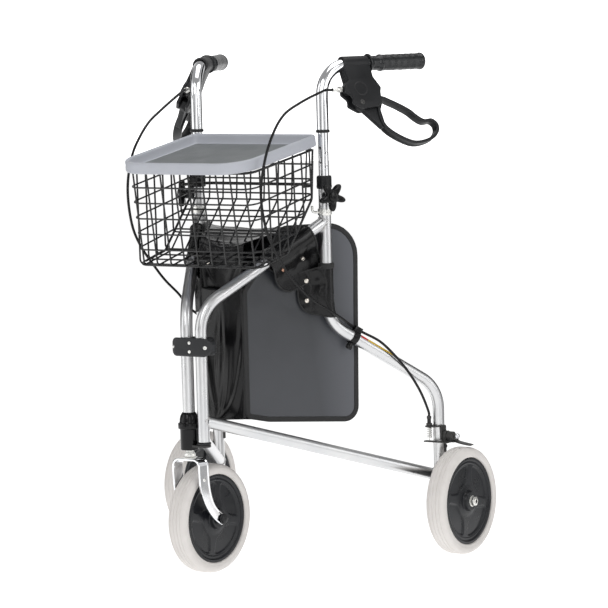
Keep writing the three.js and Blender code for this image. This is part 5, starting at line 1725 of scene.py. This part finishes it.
def make_gusset():
    """Slack front of the bag, hanging in upright folds between the side panels."""
    columns, rows = 44, 72

    def ripple(u, v):
        bell = math.sin(math.pi * u) ** 0.6
        fold = math.sin(u * 2.1 * math.pi + 3.2 * v + 0.9 * math.sin(v * 4)) * 6
        lean = -13 * bell * (0.6 + 0.4 * v)
        rough = 7 * wrinkle(Vector((u * 90, v * 130, 0)), 40, 5.5)
        across = bell * (14 * (1 - 2 * u) + 1.5 * math.sin(v * 9 + u * 4))
        ahead = bell * (fold * (0.55 + 0.45 * math.sin(v * 3)) + rough) + lean
        return (across, ahead, -2 * bell)

    cloth = cross_sheet("bag_gusset_cloth", rows, columns, lambda v: (94, 520 - 240 * v), ripple)
    settle(cloth, sewn_edges(rows, columns, top=True), 9)
    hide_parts("bag_front_gusset")
    hang(cloth, 0.035, (0.103, 0.24), "hung")


def make_rear_panel():
    columns, rows = 60, 66

    def ripple(u, v):
        bell = math.sin(math.pi * u) ** 0.5
        sag = 9 * bell * math.sin(math.pi * min(v * 1.1, 1))
        rough = 4 * wrinkle(Vector((u * 260, v * 300, 0)), 60, 2.2)
        return (0, sag * 0.4 + bell * rough, -bell * 6 * (1 - v) ** 2)

    back = rounded([(262, 624, 0), (326, 624, 58), (320.5, 262, 24), (288, 263.8, 0)], 12)
    path = even_run([Vector(p) for p in back], rows)

    cloth = cross_sheet("bag_rear_cloth", rows, columns, lambda v: tuple(path[round(v * rows)]),
                        ripple, GREY_VINYL)
    settle(cloth, sewn_edges(rows, columns), 20)
    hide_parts("bag_rear_panel")
    hang(cloth, 0.15, (0.3, 0.43), "hung")


def make_bottom():
    columns, rows = 40, 44

    def ripple(u, v):
        bell = math.sin(math.pi * u) ** 0.6 * math.sin(math.pi * min(max(v, 0.02), 0.98)) ** 0.4
        return (0, 0, -3 * bell + 2.5 * bell * wrinkle(Vector((u * 200, v * 200, 0)), 50, 8.8))

    cloth = cross_sheet("bag_bottom_cloth", rows, columns, lambda v: (98 + 200 * v, 280 - 14 * v),
                        ripple)
    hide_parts("bag_bottom")
    hang(cloth, 0.09, (0.3, 0.175), "stretched", area=0.0355)


def make_top_cover():
    """Loose lid of the bag, hanging between the tops of the side panels."""
    columns, rows = 48, 56

    def line(v):
        if v < 0.3:
            share = v / 0.3
            return 92 + 6 * share, 506 + 96 * share
        share = (v - 0.3) / 0.7
        return 98 + 180 * share, 602 + 22 * math.sin(share * math.pi * 0.62)

    def ripple(u, v):
        bell = math.sin(math.pi * u) ** 0.7
        sag = -7 * bell * smooth_step(v / 0.5)
        fold = 3.5 * math.sin(u * 7 * math.pi + 2 * v) * bell * (1 - v)
        rough = 6 * wrinkle(Vector((u * 160, v * 220, 0)), 44, 7.3) * bell
        return (0, -8 * bell * (1 - smooth_step(v / 0.4)) + fold, sag + rough)

    cloth = cross_sheet("bag_lid_cloth", rows, columns, line, ripple)
    settle(cloth, sewn_edges(rows, columns), 14, gravity=0.35)
    spot = cloth.data.vertices[round(0.2 * rows) * (columns + 1) + round(0.17 * columns)]
    out = spot.normal if spot.normal.y < 0 else -spot.normal
    at = Matrix.Translation(spot.co) @ facing(out) @ Matrix.Scale(MM, 4)
    piece("lid_stud", stud(4.2).moved(at @ Matrix.Translation((0, 0, 0.8))), NICKEL, "right_frame")
    hang(cloth, 0.11, (0.28, 0.255), "hung", area=0.041)


def stud(radius):
    """A snap stud's cap with a turned rim."""
    profile = [(1, 0.6), (0.94, 1.1), (0.8, 1.2), (0.74, 0.9), (0.6, 1.25), (0.3, 1.6)]
    return lathe([(0.01, -0.6), (radius, -0.6), *[(radius * share, z) for share, z in profile],
                  (0.01, 1.7)], 32)


def make_studs(side, rows, normals, place):
    """Two studs through the saddle's loose end."""
    for label, row, column, look in (("front", 0.83, 0.2, COPPER), ("rear", 0.865, 0.66, NICKEL)):
        k = int(row * (len(rows) - 1))
        spot = rows[k][int(column * (len(rows[k]) - 1))]
        make_stud(side, f"saddle_stud_{label}", 4.4, look, place, spot, normals[k])


def make_bag():
    for side in SIDES:
        make_panel(side)
        saddle = make_saddle(side)
        make_sleeve(side)
        make_studs(side, *saddle)
    make_gusset()
    make_rear_panel()
    make_bottom()
    make_top_cover()


make_frame_tubes()
make_stripes()
make_hinge()
make_caster_housing()
make_caster()
make_wheels()
for side in SIDES:
    make_clamp(side)
    make_handle(side)
    make_grip(side)
    make_brake(side)
    make_cable(side)
    make_rear_brake(side)
make_basket()
make_tray()
make_bag()


# ---------------------------------------------------------------- stage, lights and camera

def flat_look(name, level, strength=0.0):
    """Plain matt paper of one grey, lit from within where it has a strength."""
    material = bpy.data.materials.new(name)
    material.use_nodes = True
    bsdf = material.node_tree.nodes["Principled BSDF"]
    bsdf.inputs["Base Color"].default_value = (level, level, level, 1)
    bsdf.inputs["Roughness"].default_value = 0.8
    bsdf.inputs["Specular IOR Level"].default_value = 0
    bsdf.inputs["Emission Color"].default_value = (level, level, level, 1)
    bsdf.inputs["Emission Strength"].default_value = strength
    return material


def stage_plane(name, centre, across, over, material):
    """A rectangle for the stage; across and over are half its sides."""
    centre, across, over = Vector(centre), Vector(across), Vector(over)
    corners = [centre - across - over, centre + across - over, centre + across + over,
               centre - across + over]
    mesh = bpy.data.meshes.new(name)
    mesh.from_pydata([tuple(c) for c in corners], [], [(0, 1, 2, 3)])
    mesh.materials.append(material)
    obj = bpy.data.objects.new(name, mesh)
    bpy.context.scene.collection.objects.link(obj)
    return obj


def soft_box(name, place, target, wide, high, power):
    light = bpy.data.lights.new(name, "AREA")
    light.shape = "RECTANGLE"
    light.size, light.size_y = wide, high
    light.energy = power
    obj = bpy.data.objects.new(name, light)
    obj.location = place
    aim = Vector(target) - Vector(place)
    obj.rotation_euler = aim.to_track_quat("-Z", "Y").to_euler()
    bpy.context.scene.collection.objects.link(obj)


def make_camera():
    azimuth, elevation, roll = (math.radians(a) for a in (CAMERA_TURN, 5.398, -1.473))
    level = math.cos(elevation)
    back = Vector((math.sin(azimuth) * level, -math.cos(azimuth) * level, math.sin(elevation)))
    right = (-back).cross(Vector((0, 0, 1))).normalized()
    up = right.cross(-back)
    across = right * math.cos(roll) + up * math.sin(roll)
    over = up * math.cos(roll) - right * math.sin(roll)
    camera = bpy.data.cameras.new("camera")
    camera.sensor_width = 36
    camera.lens = 214.3
    obj = bpy.data.objects.new("camera", camera)
    matrix = Matrix((across, over, back)).transposed().to_4x4()
    matrix.translation = (3.8132, -5.5247, 1.1089)
    obj.matrix_world = matrix
    bpy.context.scene.collection.objects.link(obj)
    bpy.context.scene.camera = obj


def drum(radius, low, high):
    """An open upright cylinder in metres, as walls round the set."""
    steps = 64
    verts = [Vector((x, y, z)) for z in (low, high) for x, y in circle(radius, steps)]
    faces = [(k, (k + 1) % steps, steps + (k + 1) % steps, steps + k) for k in range(steps)]
    return Shape(verts, faces)


def make_stage():
    scene = bpy.context.scene
    scene.view_settings.view_transform = "Standard"
    world = bpy.data.worlds.new("studio")
    world.use_nodes = True
    background = world.node_tree.nodes["Background"]
    background.inputs["Color"].default_value = (1, 1, 1, 1)
    background.inputs["Strength"].default_value = 0.34
    scene.world = world
    paper = flat_look("floor_paper", 0.5, 1.69)
    floor = stage_plane("floor", (0, 0, 0), (14, 0, 0), (0, 14, 0), paper)
    floor.visible_glossy = False
    bounce = stage_plane("floor_bounce", (-2.8, 2.2, -0.002), (6.2, 0, 0), (0, 6.8, 0), paper)
    bounce.visible_camera = bounce.visible_diffuse = bounce.visible_shadow = False
    backdrop = piece("backdrop", drum(13.5, -0.5, 9), flat_look("backdrop_paper", 1, 0.985))
    backdrop.visible_glossy = False
    walls = piece("studio_walls", drum(12, -0.4, 8), flat_look("wall_paper", 0.42, 1.0))
    walls.visible_camera = False
    for obj in (backdrop, walls):
        obj.visible_diffuse = obj.visible_shadow = obj.visible_transmission = False
    dark = flat_look("flag_black", 0.01)
    bright = flat_look("card_white", 0.8, 1.6)
    boards = []
    # upright boards that stand round the walker: turn from the camera and half width
    away, half_high = 3.2, 1.5
    for name, turn, half, look in (("flag_left", -38, 0.3, dark), ("flag_right", 34, 0.2, dark),
                                   ("flag_far_left", -132, 1.1, dark),
                                   ("flag_far_right", 128, 1.0, dark),
                                   ("card_front", 4, 0.3, bright), ("card_left", -78, 0.5, bright),
                                   ("card_right", 74, 0.45, bright)):
        angle = math.radians(turn + CAMERA_TURN - 90)
        ahead, aside = math.cos(angle), math.sin(angle)
        boards.append((name, (away * ahead, away * aside, 1.0), (-half * aside, half * ahead, 0),
                       (0, 0, half_high), look))
    # a low card that the caster fork reflects in place of the floor
    boards.append(("card_low", (0.62, 0.6, 0.16), (0.3, -0.26, 0), (0, 0, 0.16),
                   flat_look("card_grey", 0.24, 0.8)))
    for board in boards:
        obj = stage_plane(*board)
        obj.visible_camera = obj.visible_diffuse = obj.visible_shadow = False
    soft_box("key", (0.2, -3.4, 2.3), (0, 0, 0.5), 1.5, 2.1, 34)
    soft_box("side", (3.2, -0.6, 1.8), (0, 0, 0.5), 1.0, 2.2, 18)
    soft_box("top", (0.3, 0.2, 3.2), (0, 0, 0.4), 2.6, 2.2, 36)


make_camera()
make_stage()
